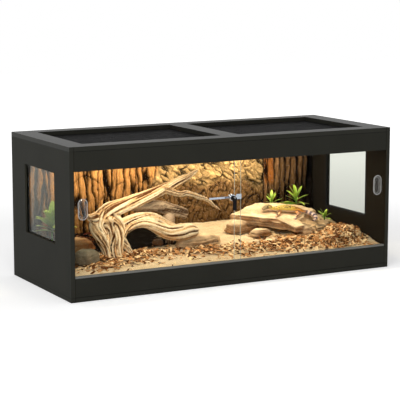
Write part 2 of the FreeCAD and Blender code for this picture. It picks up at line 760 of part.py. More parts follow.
def backdrop():
    """The bark panel in front of the back."""
    body = new_body("bark_backdrop")
    place(body, z="board")
    corners = [(f"{x} * inner_half", f"back_face - backdrop_base - {relief} * backdrop_relief")
               for x, relief in BARK_SHARES]
    corners += [("inner_half", "back_face"), ("-inner_half", "back_face")]
    pad(body, outline(sketch_on(body, "XY_Plane", "bark"), corners), "backdrop_height")


def sand_bed():
    """The sand, deeper at the back."""
    wedge = doc.addObject("PartDesign::Body", "sand_wedge")
    side = outline(sketch_on(wedge, "YZ_Plane", "slope"), [
        ("rail_back", "board"), ("back_face", "board"), ("back_face", "sand_front + sand_rise"),
        ("rail_back", "sand_front")])
    pad(wedge, side, "2 * inner_half", midplane=True)
    carve("sand_bed", wedge, [doc.getObject("bark_backdrop")])


# A stone's outline as shares of its reach, and its levels as shares of its height and its outline.
STONE_OUTLINE_SHARES = (1, 0.93, 1.05, 0.9, 1, 0.95, 1.04, 0.9, 0.97)
STONE_LEVEL_SHARES = ((0, 0.86), (0.4, 1), (0.78, 0.9), (1, 0.62))

# Each stone's place, then its half length, half depth and height as shares of the inner height.
STONE_SHARES = {
    "slab_step_rear": ((0.33, 0.63, -0.06), (0.17, 0.09, 0.15)),
    "slab_step_front": ((0.38, 0.47, -0.06), (0.1, 0.05, 0.11)),
    "slab_prop": ((0.76, 0.6, -0.06), (0.07, 0.07, 0.115)),
    "grey_boulder": ((-0.83, 0.27, -0.06), (0.115, 0.09, 0.15)),
    "rock_back_left": ((-0.8, 0.5, -0.06), (0.12, 0.09, 0.16)),
    "dark_boulder": ((-0.3, 0.49, -0.05), (0.055, 0.05, 0.09)),
    "flat_stone": ((-0.075, 0.4, -0.04), (0.21, 0.085, 0.11)),
    "pebble": ((-0.242, 0.45, 0.148), (0.048, 0.045, 0.1)),
    "mulch_heap": ((0.79, 0.24, -0.04), (0.25, 0.16, 0.11)),
    "mulch_scatter": ((-0.64, 0.31, -0.04), (0.24, 0.07, 0.06)),
    "moss_patch": ((0.745, 0.82, -0.04), (0.11, 0.052, 0.165)),
}


def stone(label, turn, *against):
    """A boulder on its place, turned by an angle in degrees, and cut by what it leans on."""
    where, reach = STONE_SHARES[label]
    half_x, half_y, tall = (share * size("inner_height") for share in reach)
    count = len(STONE_OUTLINE_SHARES)
    rings = []
    for up, out in STONE_LEVEL_SHARES:
        ring = []
        for k, share in enumerate(STONE_OUTLINE_SHARES):
            a = k * math.tau / count
            reached = out * share
            ring.append(Vector(reached * half_x * math.cos(a), reached * half_y * math.sin(a), up * tall))
        rings.append(ring)
    shape = lofted(rings)
    shape.rotate(Vector(), Vector(0, 0, 1), turn)
    shape.translate(spot(*where))
    settle(label, shape, "sand_bed", *against)


# The leaning slab: the corners of its upper face, and its thickness as a share of the inner height.
SLAB_SHARES = [
    (0.25, 0.64, 0.131), (0.41, 0.49, 0.127), (0.5, 0.47, 0.113), (0.57, 0.36, 0.072), (0.63, 0.36, 0.077),
    (0.87, 0.47, 0.062), (0.85, 0.62, 0.111), (0.79, 0.71, 0.128), (0.63, 0.76, 0.153), (0.48, 0.76, 0.164),
]
SLAB_THICKNESS_SHARE = 0.045


def slab():
    """The slab: a fan of facets above and below, and upright sides."""
    top = [spot(*corner) for corner in SLAB_SHARES]
    drop = Vector(0, 0, SLAB_THICKNESS_SHARE * size("inner_height"))
    low = [corner - drop for corner in top]
    peak = sum(top, Vector()) * (1 / len(top))
    faces = []
    for k in range(len(top)):
        n = (k + 1) % len(top)
        faces += [facet(top[k], top[n], peak), facet(low[n], low[k], peak - drop),
                  facet(low[k], low[n], top[n]), facet(low[k], top[n], top[k])]
    return closed(faces)


# The driftwood: each limb's spots, then its thickness at each spot.
TRUNK_SHARES = (
    [(-0.735, 0.335, 0.285), (-0.66, 0.345, 0.325), (-0.575, 0.37, 0.345), (-0.495, 0.39, 0.366),
     (-0.413, 0.4, 0.389), (-0.325, 0.42, 0.415), (-0.211, 0.44, 0.464), (-0.125, 0.45, 0.497),
     (-0.045, 0.46, 0.543)],
    (0.7, 0.98, 0.88, 0.8, 0.76, 0.66, 0.52, 0.38, 0.12))
STUB_SHARES = ([(-0.72, 0.335, 0.29), (-0.76, 0.33, 0.29), (-0.79, 0.32, 0.315)], (0.6, 0.5, 0.3))
LEG_SHARES = [
    ([(-0.72, 0.34, 0.3), (-0.737, 0.335, 0.22), (-0.719, 0.315, 0.134), (-0.693, 0.3, 0.058),
      (-0.677, 0.295, -0.03)],
     (0.7, 0.62, 0.56, 0.5, 0.5)),
    ([(-0.66, 0.345, 0.31), (-0.632, 0.33, 0.24), (-0.606, 0.32, 0.18), (-0.629, 0.305, 0.121),
      (-0.651, 0.29, 0.062), (-0.663, 0.28, -0.03)],
     (0.9, 0.74, 0.68, 0.58, 0.54, 0.5)),
    ([(-0.606, 0.32, 0.19), (-0.588, 0.315, 0.119), (-0.559, 0.31, 0.057), (-0.537, 0.3, -0.03)],
     (0.5, 0.48, 0.44, 0.44)),
]
UPPER_ARCH_SHARES = (
    [(-0.632, 0.33, 0.215), (-0.587, 0.34, 0.244), (-0.521, 0.35, 0.265), (-0.455, 0.36, 0.27),
     (-0.399, 0.37, 0.26), (-0.342, 0.38, 0.23), (-0.296, 0.39, 0.188), (-0.239, 0.4, 0.148),
     (-0.17, 0.41, 0.12)],
    (0.5, 0.56, 0.6, 0.62, 0.62, 0.6, 0.6, 0.6, 0.5))
LOWER_ARCH_SHARES = (
    [(-0.6, 0.315, 0.14), (-0.562, 0.325, 0.192), (-0.514, 0.33, 0.218), (-0.455, 0.335, 0.223),
     (-0.395, 0.34, 0.197), (-0.346, 0.345, 0.163), (-0.291, 0.35, 0.131), (-0.218, 0.36, 0.118),
     (-0.149, 0.37, 0.118), (-0.085, 0.378, 0.105)],
    (0.5, 0.55, 0.55, 0.55, 0.6, 0.66, 0.8, 0.95, 1, 0.55))
TWIG_SHARES = (
    [(-0.3, 0.41, 0.44), (-0.19, 0.43, 0.386), (-0.13, 0.44, 0.383), (-0.05, 0.44, 0.346),
     (0.01, 0.45, 0.314), (0.05, 0.45, 0.272), (0.09, 0.45, 0.233)],
    (0.4, 0.34, 0.28, 0.24, 0.2, 0.15, 0.09))
LOG_SHARES = (
    [(-0.52, 0.43, 0.325), (-0.4, 0.46, 0.302), (-0.32, 0.46, 0.298), (-0.246, 0.46, 0.271),
     (-0.181, 0.46, 0.243), (-0.127, 0.46, 0.216)],
    (0.6, 0.72, 0.8, 0.78, 0.72, 0.6))
LOG_ROOT_SHARES = (
    [(-0.246, 0.46, 0.271), (-0.213, 0.5, 0.186), (-0.211, 0.52, 0.087), (-0.211, 0.52, -0.03)],
    (0.6, 0.5, 0.5, 0.56))


def united(limbs):
    """Several limbs grown together."""
    shapes = [limb(path, ends) for path, ends in limbs]
    return shapes[0].multiFuse(shapes[1:]).removeSplitter()


# A leaf's spine as shares of its length (out, up), and its breadth there as a share of the broadest.
LEAF_SHARES = ((0, 0, 0.45), (0.3, 0.26, 1), (0.65, 0.4, 0.8), (1, 0.34, 0.12))
LEAF_THIN_SHARE = 0.3

# Leaf by leaf, over and over: how steeply it rises, how long it is, and where on the foot it starts.
LEAF_RISE_SHARES = (1.5, 1.05, 0.6)
LEAF_LENGTH_SHARES = (1, 0.88)
LEAF_START_SHARES = (0.3, 0.7)
STEM_TAPER_SHARE = 0.6

# Each plant's place, then its stem and its leaves' length as shares of the inner height.
PLANT_SHARES = {
    "left_plant": ((-0.86, 0.78, 0), 0.1, 0.15),
    "right_plant_large": ((0.8, 0.81, 0), 0.13, 0.13),
    "right_plant_small": ((0.62, 0.81, 0), 0.13, 0.1),
    "front_plant": ((0.91, 0.62, 0), 0.03, 0.09),
}


def leaf(length, turn, rise):
    """A thin bent leaf that starts at the origin. rise scales its height."""
    rings = []
    for out, up, breadth in LEAF_SHARES:
        half = breadth * size("leaf_width") / 2
        thick = size("leaf_thickness") / 2 * max(breadth, LEAF_THIN_SHARE)
        x, z = out * length, up * rise * length
        rings.append([Vector(x, -half, z), Vector(x, 0, z - thick),
                      Vector(x, half, z), Vector(x, 0, z + thick)])
    shape = lofted(rings)
    shape.rotate(Vector(), Vector(0, 0, 1), turn)
    return shape


def plant(label, leaves, first, *against):
    """A plant on its place: a foot, and leaves round it from a first direction in degrees."""
    where, stem_share, leaf_share = PLANT_SHARES[label]
    stem, length = stem_share * size("inner_height"), leaf_share * size("inner_height")
    radius, head = size("crown_radius"), size("crown_height")
    turns = [j * math.tau / LIMB_SIDES for j in range(LIMB_SIDES)]
    shapes = [lofted([[Vector(r * math.cos(a), r * math.sin(a), z) for a in turns]
                      for r, z in ((radius, -head), (radius * STEM_TAPER_SHARE, stem + head))])]
    for k in range(leaves):
        piece = leaf(length * LEAF_LENGTH_SHARES[k % 2], first + k * 360 / leaves, LEAF_RISE_SHARES[k % 3])
        piece.translate(Vector(0, 0, stem + head * LEAF_START_SHARES[k % 2]))
        shapes.append(piece)
    shape = shapes[0].multiFuse(shapes[1:])
    shape.translate(spot(*where))
    settle(label, shape, "sand_bed", *against)


def habitat():
    """Everything that lies in the sand, from the largest pieces to the smallest."""
    settle("rock_slab", slab(), "sand_bed")
    stone("slab_step_rear", 12, "rock_slab")
    stone("slab_step_front", -8, "rock_slab", "slab_step_rear")
    stone("slab_prop", 30, "rock_slab")
    stone("grey_boulder", 20)
    stone("rock_back_left", -15, "grey_boulder")
    stone("dark_boulder", 40)
    stone("flat_stone", 5)
    settle("driftwood_main", united([TRUNK_SHARES, STUB_SHARES] + LEG_SHARES), "sand_bed", "grey_boulder")
    under_arches = ("sand_bed", "driftwood_main", "dark_boulder", "flat_stone")
    settle("driftwood_upper_arch", limb(*UPPER_ARCH_SHARES), *under_arches)
    settle("driftwood_lower_arch", limb(*LOWER_ARCH_SHARES), *under_arches, "driftwood_upper_arch")
    settle("driftwood_twig", limb(*TWIG_SHARES), "driftwood_main")
    settle("driftwood_log", united([LOG_SHARES, LOG_ROOT_SHARES]), "sand_bed", "driftwood_main")
    stone("pebble", 0, "driftwood_log", "driftwood_upper_arch", "driftwood_lower_arch")
    stone("mulch_heap", 0, "rock_slab", "slab_prop")
    stone("mulch_scatter", 0, "driftwood_main", "grey_boulder", "driftwood_lower_arch")
    stone("moss_patch", 0, "rock_slab")
    plant("left_plant", 9, 10, "rock_back_left")
    plant("right_plant_large", 9, 25, "moss_patch")
    plant("right_plant_small", 7, 0, "moss_patch")
    plant("front_plant", 7, 15, "rock_slab", "slab_prop")


def cabinet():
    """Boards, doors, lock, windows and meshes."""
    base_panel()
    for side in SIDES:
        side_panel(side)
    top_frame()
    front_rails()
    back_panel()
    edge_dowels()
    runner("lower_runner", "sill", "lower_runner_height", "sill + runner_web")
    runner("upper_runner", "lintel", "upper_runner_height", "lintel - overrun")
    for side in SIDES:
        door(side)
        finger_pull(side)
        window(side)
        mesh(side)
        mesh_frame(side)
    lock_bar()
    lock_barrel()
    lock_plug()
    key()


cabinet()
backdrop()
sand_bed()
habitat()
doc.recompute()

for item in doc.Objects:
    if "Invalid" in item.State or "Error" in item.State:
        raise RuntimeError(f"{item.Label} did not compute")
for item in NODES:
    if item.Shape.isNull() or not item.Shape.isValid() or not item.Shape.Solids:
        raise RuntimeError(f"{item.Label} is not a valid solid")
    item.Shape.exportStep(f"parts/{item.Label}.step")
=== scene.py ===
"""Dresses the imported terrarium: its boards, glass and lock, and the desert landscape inside.

Metres. +X runs along the front to the right, +Y to the back, +Z up.
"""

import math
import random

import bmesh
import bpy
from bpy.props import FloatProperty, FloatVectorProperty, IntProperty, PointerProperty
from mathutils import Matrix, Vector, noise
from mathutils.bvhtree import BVHTree
from mathutils.kdtree import KDTree


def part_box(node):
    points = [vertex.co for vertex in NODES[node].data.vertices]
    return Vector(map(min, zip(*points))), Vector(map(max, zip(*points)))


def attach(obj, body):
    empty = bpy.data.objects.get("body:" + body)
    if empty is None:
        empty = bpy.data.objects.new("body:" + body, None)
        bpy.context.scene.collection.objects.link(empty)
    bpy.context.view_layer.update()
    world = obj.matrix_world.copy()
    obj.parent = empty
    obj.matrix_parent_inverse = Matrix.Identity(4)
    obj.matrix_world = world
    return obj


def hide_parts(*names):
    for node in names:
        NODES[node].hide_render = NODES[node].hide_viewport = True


bl_info = {
    "name": "Desert Terrarium",
    "version": (1, 0, 0),
    "blender": (4, 5, 0),
    "location": "View3D > Sidebar > Terrarium",
    "description": "Dresses a wooden terrarium with glass doors and a desert landscape",
    "category": "Object",
}

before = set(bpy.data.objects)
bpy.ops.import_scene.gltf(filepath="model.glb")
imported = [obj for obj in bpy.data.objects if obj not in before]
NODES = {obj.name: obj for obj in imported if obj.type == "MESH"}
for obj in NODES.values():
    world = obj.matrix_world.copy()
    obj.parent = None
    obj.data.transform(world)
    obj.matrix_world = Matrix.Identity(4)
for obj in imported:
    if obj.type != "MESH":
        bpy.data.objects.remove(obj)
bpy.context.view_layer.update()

# The inside of the cabinet and its sand, as the solids have them.
INNER_HALF = -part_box("left_side_panel")[1].x
SAND_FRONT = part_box("sand_bed")[0].y
BACK_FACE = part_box("back_panel")[0].y
SAND_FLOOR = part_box("sand_bed")[0].z
SAND_LOW = 0.081
SAND_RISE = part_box("sand_bed")[1].z - SAND_LOW
INNER_HEIGHT = 0.46
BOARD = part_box("base_panel")[1].z
TOP_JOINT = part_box("top_frame")[0].z
# Half the width of the dark line where two boards meet, and of the ground edge of a glass door.
JOINT = 0.0009
GLASS_EDGE = 0.0006
# How far a sheet inside stops short of the boards, and the floor below the base.
CLEAR = 0.0005
# The height inside the cabinet from which things are dropped on the ground.
DROP_HEIGHT = 0.3


# Colours and shader maths.


def plain(colour):
    """A colour as it looks on screen, made linear."""
    return tuple(c / 12.92 if c <= 0.04045 else ((c + 0.055) / 1.055) ** 2.4 for c in colour)


def scaled(colour, factor):
    """A colour made darker or lighter."""
    return tuple(c * factor for c in colour)


def blend(first, second, share):
    """Two colours mixed."""
    return tuple(a + (b - a) * share for a, b in zip(first, second))


def four(colour):
    """A colour with its alpha."""
    return (*colour, 1) if isinstance(colour, tuple) and len(colour) == 3 else colour


class Value:
    """A number that varies over a surface. Sums and products of it add Math nodes."""

    def __init__(self, finish, socket):
        self.finish = finish
        self.socket = socket

    def _maths(self, operation, first, second=0.0):
        return self.finish.node("Math", {0: first, 1: second}, operation=operation)

    def __add__(self, other):
        return self._maths("ADD", self, other)

    __radd__ = __add__

    def __mul__(self, other):
        return self._maths("MULTIPLY", self, other)

    __rmul__ = __mul__

    def __sub__(self, other):
        return self._maths("SUBTRACT", self, other)

    def __rsub__(self, other):
        return self._maths("SUBTRACT", other, self)

    def __pow__(self, other):
        return self._maths("POWER", self, other)

    def __gt__(self, other):
        return self._maths("GREATER_THAN", self, other)

    def __lt__(self, other):
        return self._maths("LESS_THAN", self, other)

    def distance(self):
        """Its size without its sign."""
        return self._maths("ABSOLUTE", self)

    def larger(self, other):
        """The larger one of two."""
        return self._maths("MAXIMUM", self, other)


class Finish:
    """A material, or a world, and the nodes that make it."""

    def __init__(self, name, kind="materials"):
        self.owner = getattr(bpy.data, kind).new(name)
        self.owner.use_nodes = True
        self.tree = self.owner.node_tree
        self.tree.nodes.clear()

    def node(self, kind, inputs=None, output=0, stops=None, **settings):
        """Adds a node, sets it up, then links or sets its sockets. Gives one of its outputs."""
        made = self.tree.nodes.new("ShaderNode" + kind)
        for key, value in settings.items():
            setattr(made, key, value)
        if stops:
            ramp = made.color_ramp.elements
            while len(ramp) < len(stops):
                ramp.new(0.5)
            for element, (place, colour) in zip(ramp, stops):
                element.position = place
                element.color = four(colour)
        for key, value in (inputs or {}).items():
            socket = made.inputs[key]
            if isinstance(value, Value):
                self.tree.links.new(value.socket, socket)
            else:
                socket.default_value = value
        return Value(self, made.outputs[output]) if made.outputs else None

    def place(self, stretch=(1, 1, 1)):
        """The point on the object, in metres, stretched along each axis."""
        point = self.node("TexCoord", output=3)
        return self.node("VectorMath", {0: point, 1: stretch}, operation="MULTIPLY")

    def axis(self, index):
        """One coordinate of the point on the object."""
        return self.node("SeparateXYZ", {0: self.node("TexCoord", output=3)}, output=index)

    def noise(self, scale, detail=4.0, rough=0.55, stretch=(1, 1, 1)):
        """Cloudy noise from 0 to 1."""
        return self.node("TexNoise", {"Vector": self.place(stretch), "Scale": scale, "Detail": detail,
                                      "Roughness": rough})

    def cells(self, scale):
        """Distance to the nearest cell's centre."""
        return self.node("TexVoronoi", {"Vector": self.place(), "Scale": scale})

    def ramp(self, value, *stops):
        """Colours along a value."""
        return self.node("ValToRGB", {0: value}, stops=stops)

    def mix(self, share, first, second, way="MIX"):
        """Two colours mixed by a share."""
        return self.node("Mix", {0: share, 6: four(first), 7: four(second)}, output=2,
                         data_type="RGBA", blend_type=way)

    def times(self, first, second):
        """Two colours multiplied."""
        return self.mix(1.0, first, second, "MULTIPLY")

    def tint(self, name="tint"):
        """The colour painted on the piece's points."""
        return self.node("Attribute", attribute_name=name)

    def bump(self, height, distance, strength=1.0):
        """A bumped normal."""
        return self.node("Bump", {"Height": height, "Distance": distance, "Strength": strength})

    def surface(self, **inputs):
        """A Principled shader; its socket names are written with underscores."""
        return self.node("BsdfPrincipled", {key.replace("_", " "): four(value) if "Color" in key else value
                                            for key, value in inputs.items()})

    def done(self, shader, output="OutputMaterial"):
        """Puts a shader on the material or the world, and gives it."""
        self.node(output, {0: shader})
        return self.owner


# Finishes.


def coated_board(name, colour, rough=0.45, inside_shade=None, gloss=0.02):
    """Coated board with a fine pressed grain. It has dark joints, or else a darker, warmer inside as painted
    shade.
    """
    f = Finish(name)
    pores = f.noise(900, 3, 0.6, stretch=(0.12, 1, 1))
    shade = f.mix(f.noise(7, 4, 0.5), scaled(plain(colour), 0.86), scaled(plain(colour), 1.14))
    if inside_shade:
        shade = f.mix(f.axis(0).distance() < INNER_HALF + JOINT, shade, plain(inside_shade))
    else:
        joint = 0.0
        for axis, place in ((0, INNER_HALF), (2, BOARD), (2, TOP_JOINT)):
            joint = ((f.axis(axis).distance() - place).distance() < JOINT).larger(joint)
        shade = f.mix(joint * 0.75, shade, (0.002, 0.002, 0.002))
    return f.done(f.surface(Base_Color=shade, Roughness=rough + 0.1 * pores, Specular_IOR_Level=gloss,
                            Normal=f.bump(pores, 0.00012, 0.5)))


def pale_wood(name):
    """Plain pale wood."""
    f = Finish(name)
    grain = f.noise(160, 4, 0.5, stretch=(1, 1, 0.1))
    shade = f.mix(grain, plain((0.72, 0.56, 0.38)), plain((0.82, 0.68, 0.48)))
    return f.done(f.surface(Base_Color=shade, Roughness=0.6))


def thin_glass(name, edge_at=None, shine=1.06, clear=(0.985, 0.992, 0.987)):
    """Clear glass that reflects more at a flat angle, and a pale ground edge with a faint painted glow at
    one place along X.
    """
    f = Finish(name)
    through = f.node("BsdfTransparent", {"Color": four(clear)})
    smear = f.noise(11, 3, 0.5)
    gloss = f.surface(Base_Color=(0.9, 0.93, 0.92), Metallic=1.0, Roughness=0.015 + 0.02 * smear)
    glass = f.node("MixShader", {0: f.node("Fresnel", {"IOR": shine}), 1: through, 2: gloss})
    if edge_at is not None:
        near = (f.axis(0) - edge_at).distance() < GLASS_EDGE
        # The ground edge is pale, with a faint painted glow along it.
        edge = f.surface(Base_Color=plain((0.78, 0.82, 0.76)), Roughness=0.35,
                         Emission_Color=(0.8, 0.82, 0.72), Emission_Strength=0.1)
        glass = f.node("MixShader", {0: near * 0.42, 1: glass, 2: edge})
    return f.done(glass)


def metal(name, colour, rough):
    """Bare or plated metal with faint wear."""
    f = Finish(name)
    wear = f.noise(260, 4, 0.6)
    return f.done(f.surface(Base_Color=f.mix(wear, scaled(colour, 0.9), colour), Metallic=1.0,
                            Roughness=rough + 0.08 * wear))


def moulded(name, colour, rough, grain=600, gloss=0.3):
    """Moulded plastic with a fine grain."""
    f = Finish(name)
    fine = f.noise(grain, 3, 0.6)
    base = f.mix(f.noise(40, 3, 0.5), scaled(plain(colour), 0.85), scaled(plain(colour), 1.1))
    return f.done(f.surface(Base_Color=base, Roughness=rough + 0.1 * fine, Specular_IOR_Level=gloss,
                            Normal=f.bump(fine, 0.00008, 0.4)))


def clear_plastic(name, node):
    """Clear moulded plastic: a see-through cup inside a bright rim of a stadium's shape; rim and groove are
    a painted highlight.
    """
    f = Finish(name)
    through = f.node("BsdfTransparent", {"Color": (0.94, 0.95, 0.95, 1)})
    gloss = f.surface(Base_Color=(0.85, 0.87, 0.87), Roughness=0.12 + 0.1 * f.noise(90, 3, 0.5))
    low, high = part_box(node)
    middle, radius = (low + high) / 2, (high.x - low.x) / 2
    straight = (high.z - low.z) / 2 - radius
    over = ((f.axis(2) - middle.z).distance() - straight).larger(0.0)
    away = ((f.axis(0) - middle.x) ** 2 + over ** 2) ** 0.5
    lip = away > 0.84 * radius
    groove = (away - 0.56 * radius).distance() < 0.07 * radius
    # Painted highlight: the lip and the groove are painted in part as pale, opaque plastic.
    return f.done(f.node("MixShader", {0: 0.02 + 0.12 * groove + 0.28 * lip, 1: through, 2: gloss}))


def painted_relief(name, grain, depth, rough=0.9, fleck=(0.75, 1.2), stretch=(1, 1, 1)):
    """Rough natural stuff: the painted colour, broken up by grain at two scales."""
    f = Finish(name)
    fine = f.noise(grain, 6, 0.65, stretch)
    coarse = f.noise(grain * 0.18, 5, 0.6, stretch)
    tone = f.ramp(0.55 * fine + 0.45 * coarse, (0.3, (fleck[0],) * 3), (0.7, (fleck[1],) * 3))
    return f.done(f.surface(Base_Color=f.times(f.tint(), tone), Roughness=rough, Specular_IOR_Level=0.05,
                            Normal=f.bump(0.7 * fine + coarse, depth, 0.9)))


def sand_grains(name):
    """Fine sand in the painted colour, with darker grains."""
    f = Finish(name)
    grain = f.noise(1500, 2, 0.7)
    spot = f.ramp(grain, (0.34, (0.55, 0.47, 0.38)), (0.5, (1, 1, 1)))
    tone = f.ramp(f.noise(18, 5, 0.55), (0.3, (0.9, 0.88, 0.84)), (0.7, (1.05, 1.05, 1.05)))
    shade = f.times(f.times(f.tint(), tone), spot)
    return f.done(f.surface(Base_Color=shade, Roughness=0.95, Specular_IOR_Level=0.03,
                            Normal=f.bump(grain + 2 * f.noise(160, 4), 0.0009, 0.6)))


def leaf_green(name):
    """A leaf: the painted colour with faint veins along it and a soft gloss."""
    f = Finish(name)
    veins = f.noise(420, 3, 0.5, stretch=(1, 1, 0.4))
    shade = f.times(f.tint(), f.ramp(veins, (0.35, (0.8, 0.85, 0.7)), (0.65, (1.1, 1.08, 1))))
    return f.done(f.surface(Base_Color=shade, Roughness=0.42 + 0.15 * veins,
                            Normal=f.bump(veins, 0.0003, 0.5)))


def scaly_skin(name):
    """A reptile's skin: small round scales over the painted colours, and dots where it is painted dotted."""
    f = Finish(name)
    dots = f.ramp(f.cells(190), (0.50, (0.10, 0.07, 0.06)), (0.60, (1, 1, 1)))
    blotch = f.ramp(f.noise(170, 4, 0.6), (0.3, (0.85, 0.85, 0.85)), (0.7, (1.1, 1.1, 1.1)))
    shade = f.times(f.times(f.tint(), f.mix(f.tint("dotted"), (1.0, 1.0, 1.0), dots)), blotch)
    return f.done(f.surface(Base_Color=shade, Roughness=0.5, Normal=f.bump(f.cells(700), 0.0004, 0.7)))


# Shapes.


def as_mesh(name, bm):
    """Makes a mesh of a bmesh, which is used up."""
    mesh = bpy.data.meshes.new(name)
    bm.to_mesh(mesh)
    bm.free()
    return mesh


def in_scene(name, data):
    """Makes an object in the scene."""
    made = bpy.data.objects.new(name, data)
    bpy.context.scene.collection.objects.link(made)
    return made


def add_piece(name, bm, finish, stands_for=(), body="cabinet", smooth=True):
    """Makes an object of a bmesh, on the frame's body, standing for the CAD nodes that it replaces."""
    bmesh.ops.recalc_face_normals(bm, faces=bm.faces)
    mesh = as_mesh(name, bm)
    mesh.materials.append(finish)
    mesh.polygons.foreach_set("use_smooth", [smooth] * len(mesh.polygons))
    piece = in_scene(name, mesh)
    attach(piece, body)
    if stands_for:
        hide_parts(*stands_for)


def inside(across, back, lift):
    """A point inside the cabinet, from shares: across, back from the doors, up from the sand."""
    return Vector((across * INNER_HALF, SAND_FRONT + back * (BACK_FACE - SAND_FRONT),
                   SAND_LOW + back * SAND_RISE + lift * INNER_HEIGHT))


def sand_level(y):
    """Height of the even sand."""
    return SAND_LOW + SAND_RISE * (y - SAND_FRONT) / (BACK_FACE - SAND_FRONT)


def held(value, low=0.0, high=1.0):
    """A number kept between two others."""
    return min(max(value, low), high)


def step(low, high, value):
    """0 up to low, 1 from high on, and smooth between. Low may be the larger of the two."""
    t = held((value - low) / (high - low))
    return t * t * (3 - 2 * t)


def rough(point, scale, octaves=4):
    """Signed fractal noise at a point."""
    return noise.fractal(Vector(point) * scale, 0.9, 2.1, octaves)


def edges_of_cells(point):
    """Distance from the nearest cell edge, and a number from 0 to 1 for the cell."""
    near, centres = noise.voronoi(point)
    return near[1] - near[0], (math.sin(centres[0].dot(Vector((12.9, 78.2, 37.7)))) * 437.5) % 1


def painted_mesh():
    """An empty bmesh whose points can be painted."""
    bm = bmesh.new()
    bm.verts.layers.float_color.new("tint")
    return bm


def grid(columns, rows, shape, paint):
    """A sheet of columns by rows. shape gives each point's place from its shares, paint its colour."""
    bm = painted_mesh()
    tint = bm.verts.layers.float_color["tint"]
    bmesh.ops.create_grid(bm, x_segments=columns, y_segments=rows, size=0.5)
    for v in bm.verts:
        u, w = v.co.x + 0.5, v.co.y + 0.5
        v.co, v[tint] = shape(u, w), (*paint(u, w), 1)
    return bm


def close_behind(bm, move):
    """Gives an open sheet thickness: its rim is drawn out to where move puts it, and closed there."""
    rim = [e for e in bm.edges if e.is_boundary]
    drawn = bmesh.ops.extrude_edge_only(bm, edges=rim)["geom"]
    for v in (g for g in drawn if isinstance(g, bmesh.types.BMVert)):
        v.co = move(v.co)
    bmesh.ops.holes_fill(bm, edges=[g for g in drawn if isinstance(g, bmesh.types.BMEdge)], sides=0)


def along(points, t):
    """A smooth curve through points, at a share of its length."""
    spans = len(points) - 1
    k = min(int(t * spans), spans - 1)
    s = t * spans - k
    a, b, c, d = (points[held(k + j, 0, spans)] for j in (-1, 0, 1, 2))
    curve = 2 * b + (c - a) * s + (2 * a - 5 * b + 4 * c - d) * s ** 2
    return 0.5 * (curve + (3 * b - a - 3 * c + d) * s ** 3)


def heading(points, t, reach):
    """Which way the curve through points runs at a share of its length."""
    return (along(points, min(t + reach, 1)) - along(points, max(t - reach, 0))).normalized()


# Sizes and colours that a user would change.


def colour_property(name, description, default):
    """A colour as it looks on screen."""
    return FloatVectorProperty(name=name, description=description, default=default, subtype="COLOR_GAMMA",
                               min=0, max=1)


class CabinetSettings(bpy.types.PropertyGroup):
    """The boards and the metal."""

    board: colour_property("Board", "Colour of the coated boards", (0.168, 0.168, 0.150))
    wire_gloss: FloatProperty(name="Wire gloss", description="Roughness of the wire", default=0.45,
                              min=0, max=1)


class BarkSettings(bpy.types.PropertyGroup):
    """The bark panel."""

    golden: colour_property("Golden bark", "Plates at the left", (0.87, 0.63, 0.36))
    cork: colour_property("Cork", "Crumbly middle", (0.86, 0.71, 0.47))
    brown: colour_property("Brown bark", "Columns at the right", (0.70, 0.53, 0.35))
    relief: FloatProperty(name="Relief", description="Depth of the bark", default=0.022, unit="LENGTH")


class SandSettings(bpy.types.PropertyGroup):
    """The sand."""

    colour: colour_property("Sand", "Colour of the sand", (0.845, 0.765, 0.62))
    ripple: FloatProperty(name="Ripple", description="Height of the small waves", default=0.0022,
                          unit="LENGTH")


class WoodSettings(bpy.types.PropertyGroup):
    """The driftwood."""

    pale: colour_property("Ridges", "Colour of the weathered ridges", (0.92, 0.75, 0.53))
    # The groove colour is painted shade, and the third colour is a painted highlight where the ridges stand
    # out.
    dark: colour_property("Grooves", "Colour in the grooves", (0.38, 0.23, 0.12))
    high: colour_property("Ridge highlight", "Painted highlight where the ridges stand out", (1.0, 0.93, 0.77))
    girth: FloatProperty(name="Girth", description="Thickness of the trunk", default=0.05, unit="LENGTH")


class StoneSettings(bpy.types.PropertyGroup):
    """The stones."""

    slab: colour_property("Slab", "Colour of the sandstone", (0.88, 0.79, 0.63))
    dark: colour_property("Boulder", "Colour of the grey boulders", (0.42, 0.40, 0.33))


class ChipSettings(bpy.types.PropertyGroup):
    """The bark chips."""

    pale: colour_property("Pale chip", "Lightest chips", (0.94, 0.81, 0.60))
    red: colour_property("Red chip", "Reddest chips", (0.76, 0.55, 0.34))
    dark: colour_property("Dark chip", "Darkest chips", (0.38, 0.23, 0.12))
    count: IntProperty(name="Chips", description="How many chips lie in the sand", default=4200, min=0)
    seed: IntProperty(name="Seed", description="Another scatter of the chips", default=7)


class PlantSettings(bpy.types.PropertyGroup):
    """The plants."""

    young: colour_property("Young leaf", "Colour of the leaf tips", (0.80, 0.91, 0.36))
    old: colour_property("Old leaf", "Colour at the foot of a leaf", (0.32, 0.52, 0.16))


class StageSettings(bpy.types.PropertyGroup):
    """The light and the camera."""

    lens: FloatProperty(name="Lens", description="Focal length", default=132.36, unit="CAMERA")
    heat_lamp: FloatProperty(name="Lamp", description="Power of the warm light inside", default=9.0,
                             unit="POWER")


# Making the pieces.


def dress(finish, *nodes):
    """Puts a finish on CAD nodes."""
    for name in nodes:
        mesh = NODES[name].data
        mesh.materials.clear()
        mesh.materials.append(finish)


def even_skin(bm, grain):
    """Merges a shape's bodies into one even skin of a grain, ready to be painted."""
    copy = in_scene("even", as_mesh("even", bm))
    even = copy.modifiers.new("even", "REMESH")
    even.mode = "VOXEL"
    even.voxel_size = grain
    skin = bpy.data.meshes.new_from_object(copy.evaluated_get(bpy.context.evaluated_depsgraph_get()))
    bpy.data.objects.remove(copy)
    made = bmesh.new()
    made.from_mesh(skin)
    made.verts.layers.float_color.new("tint")
    return made


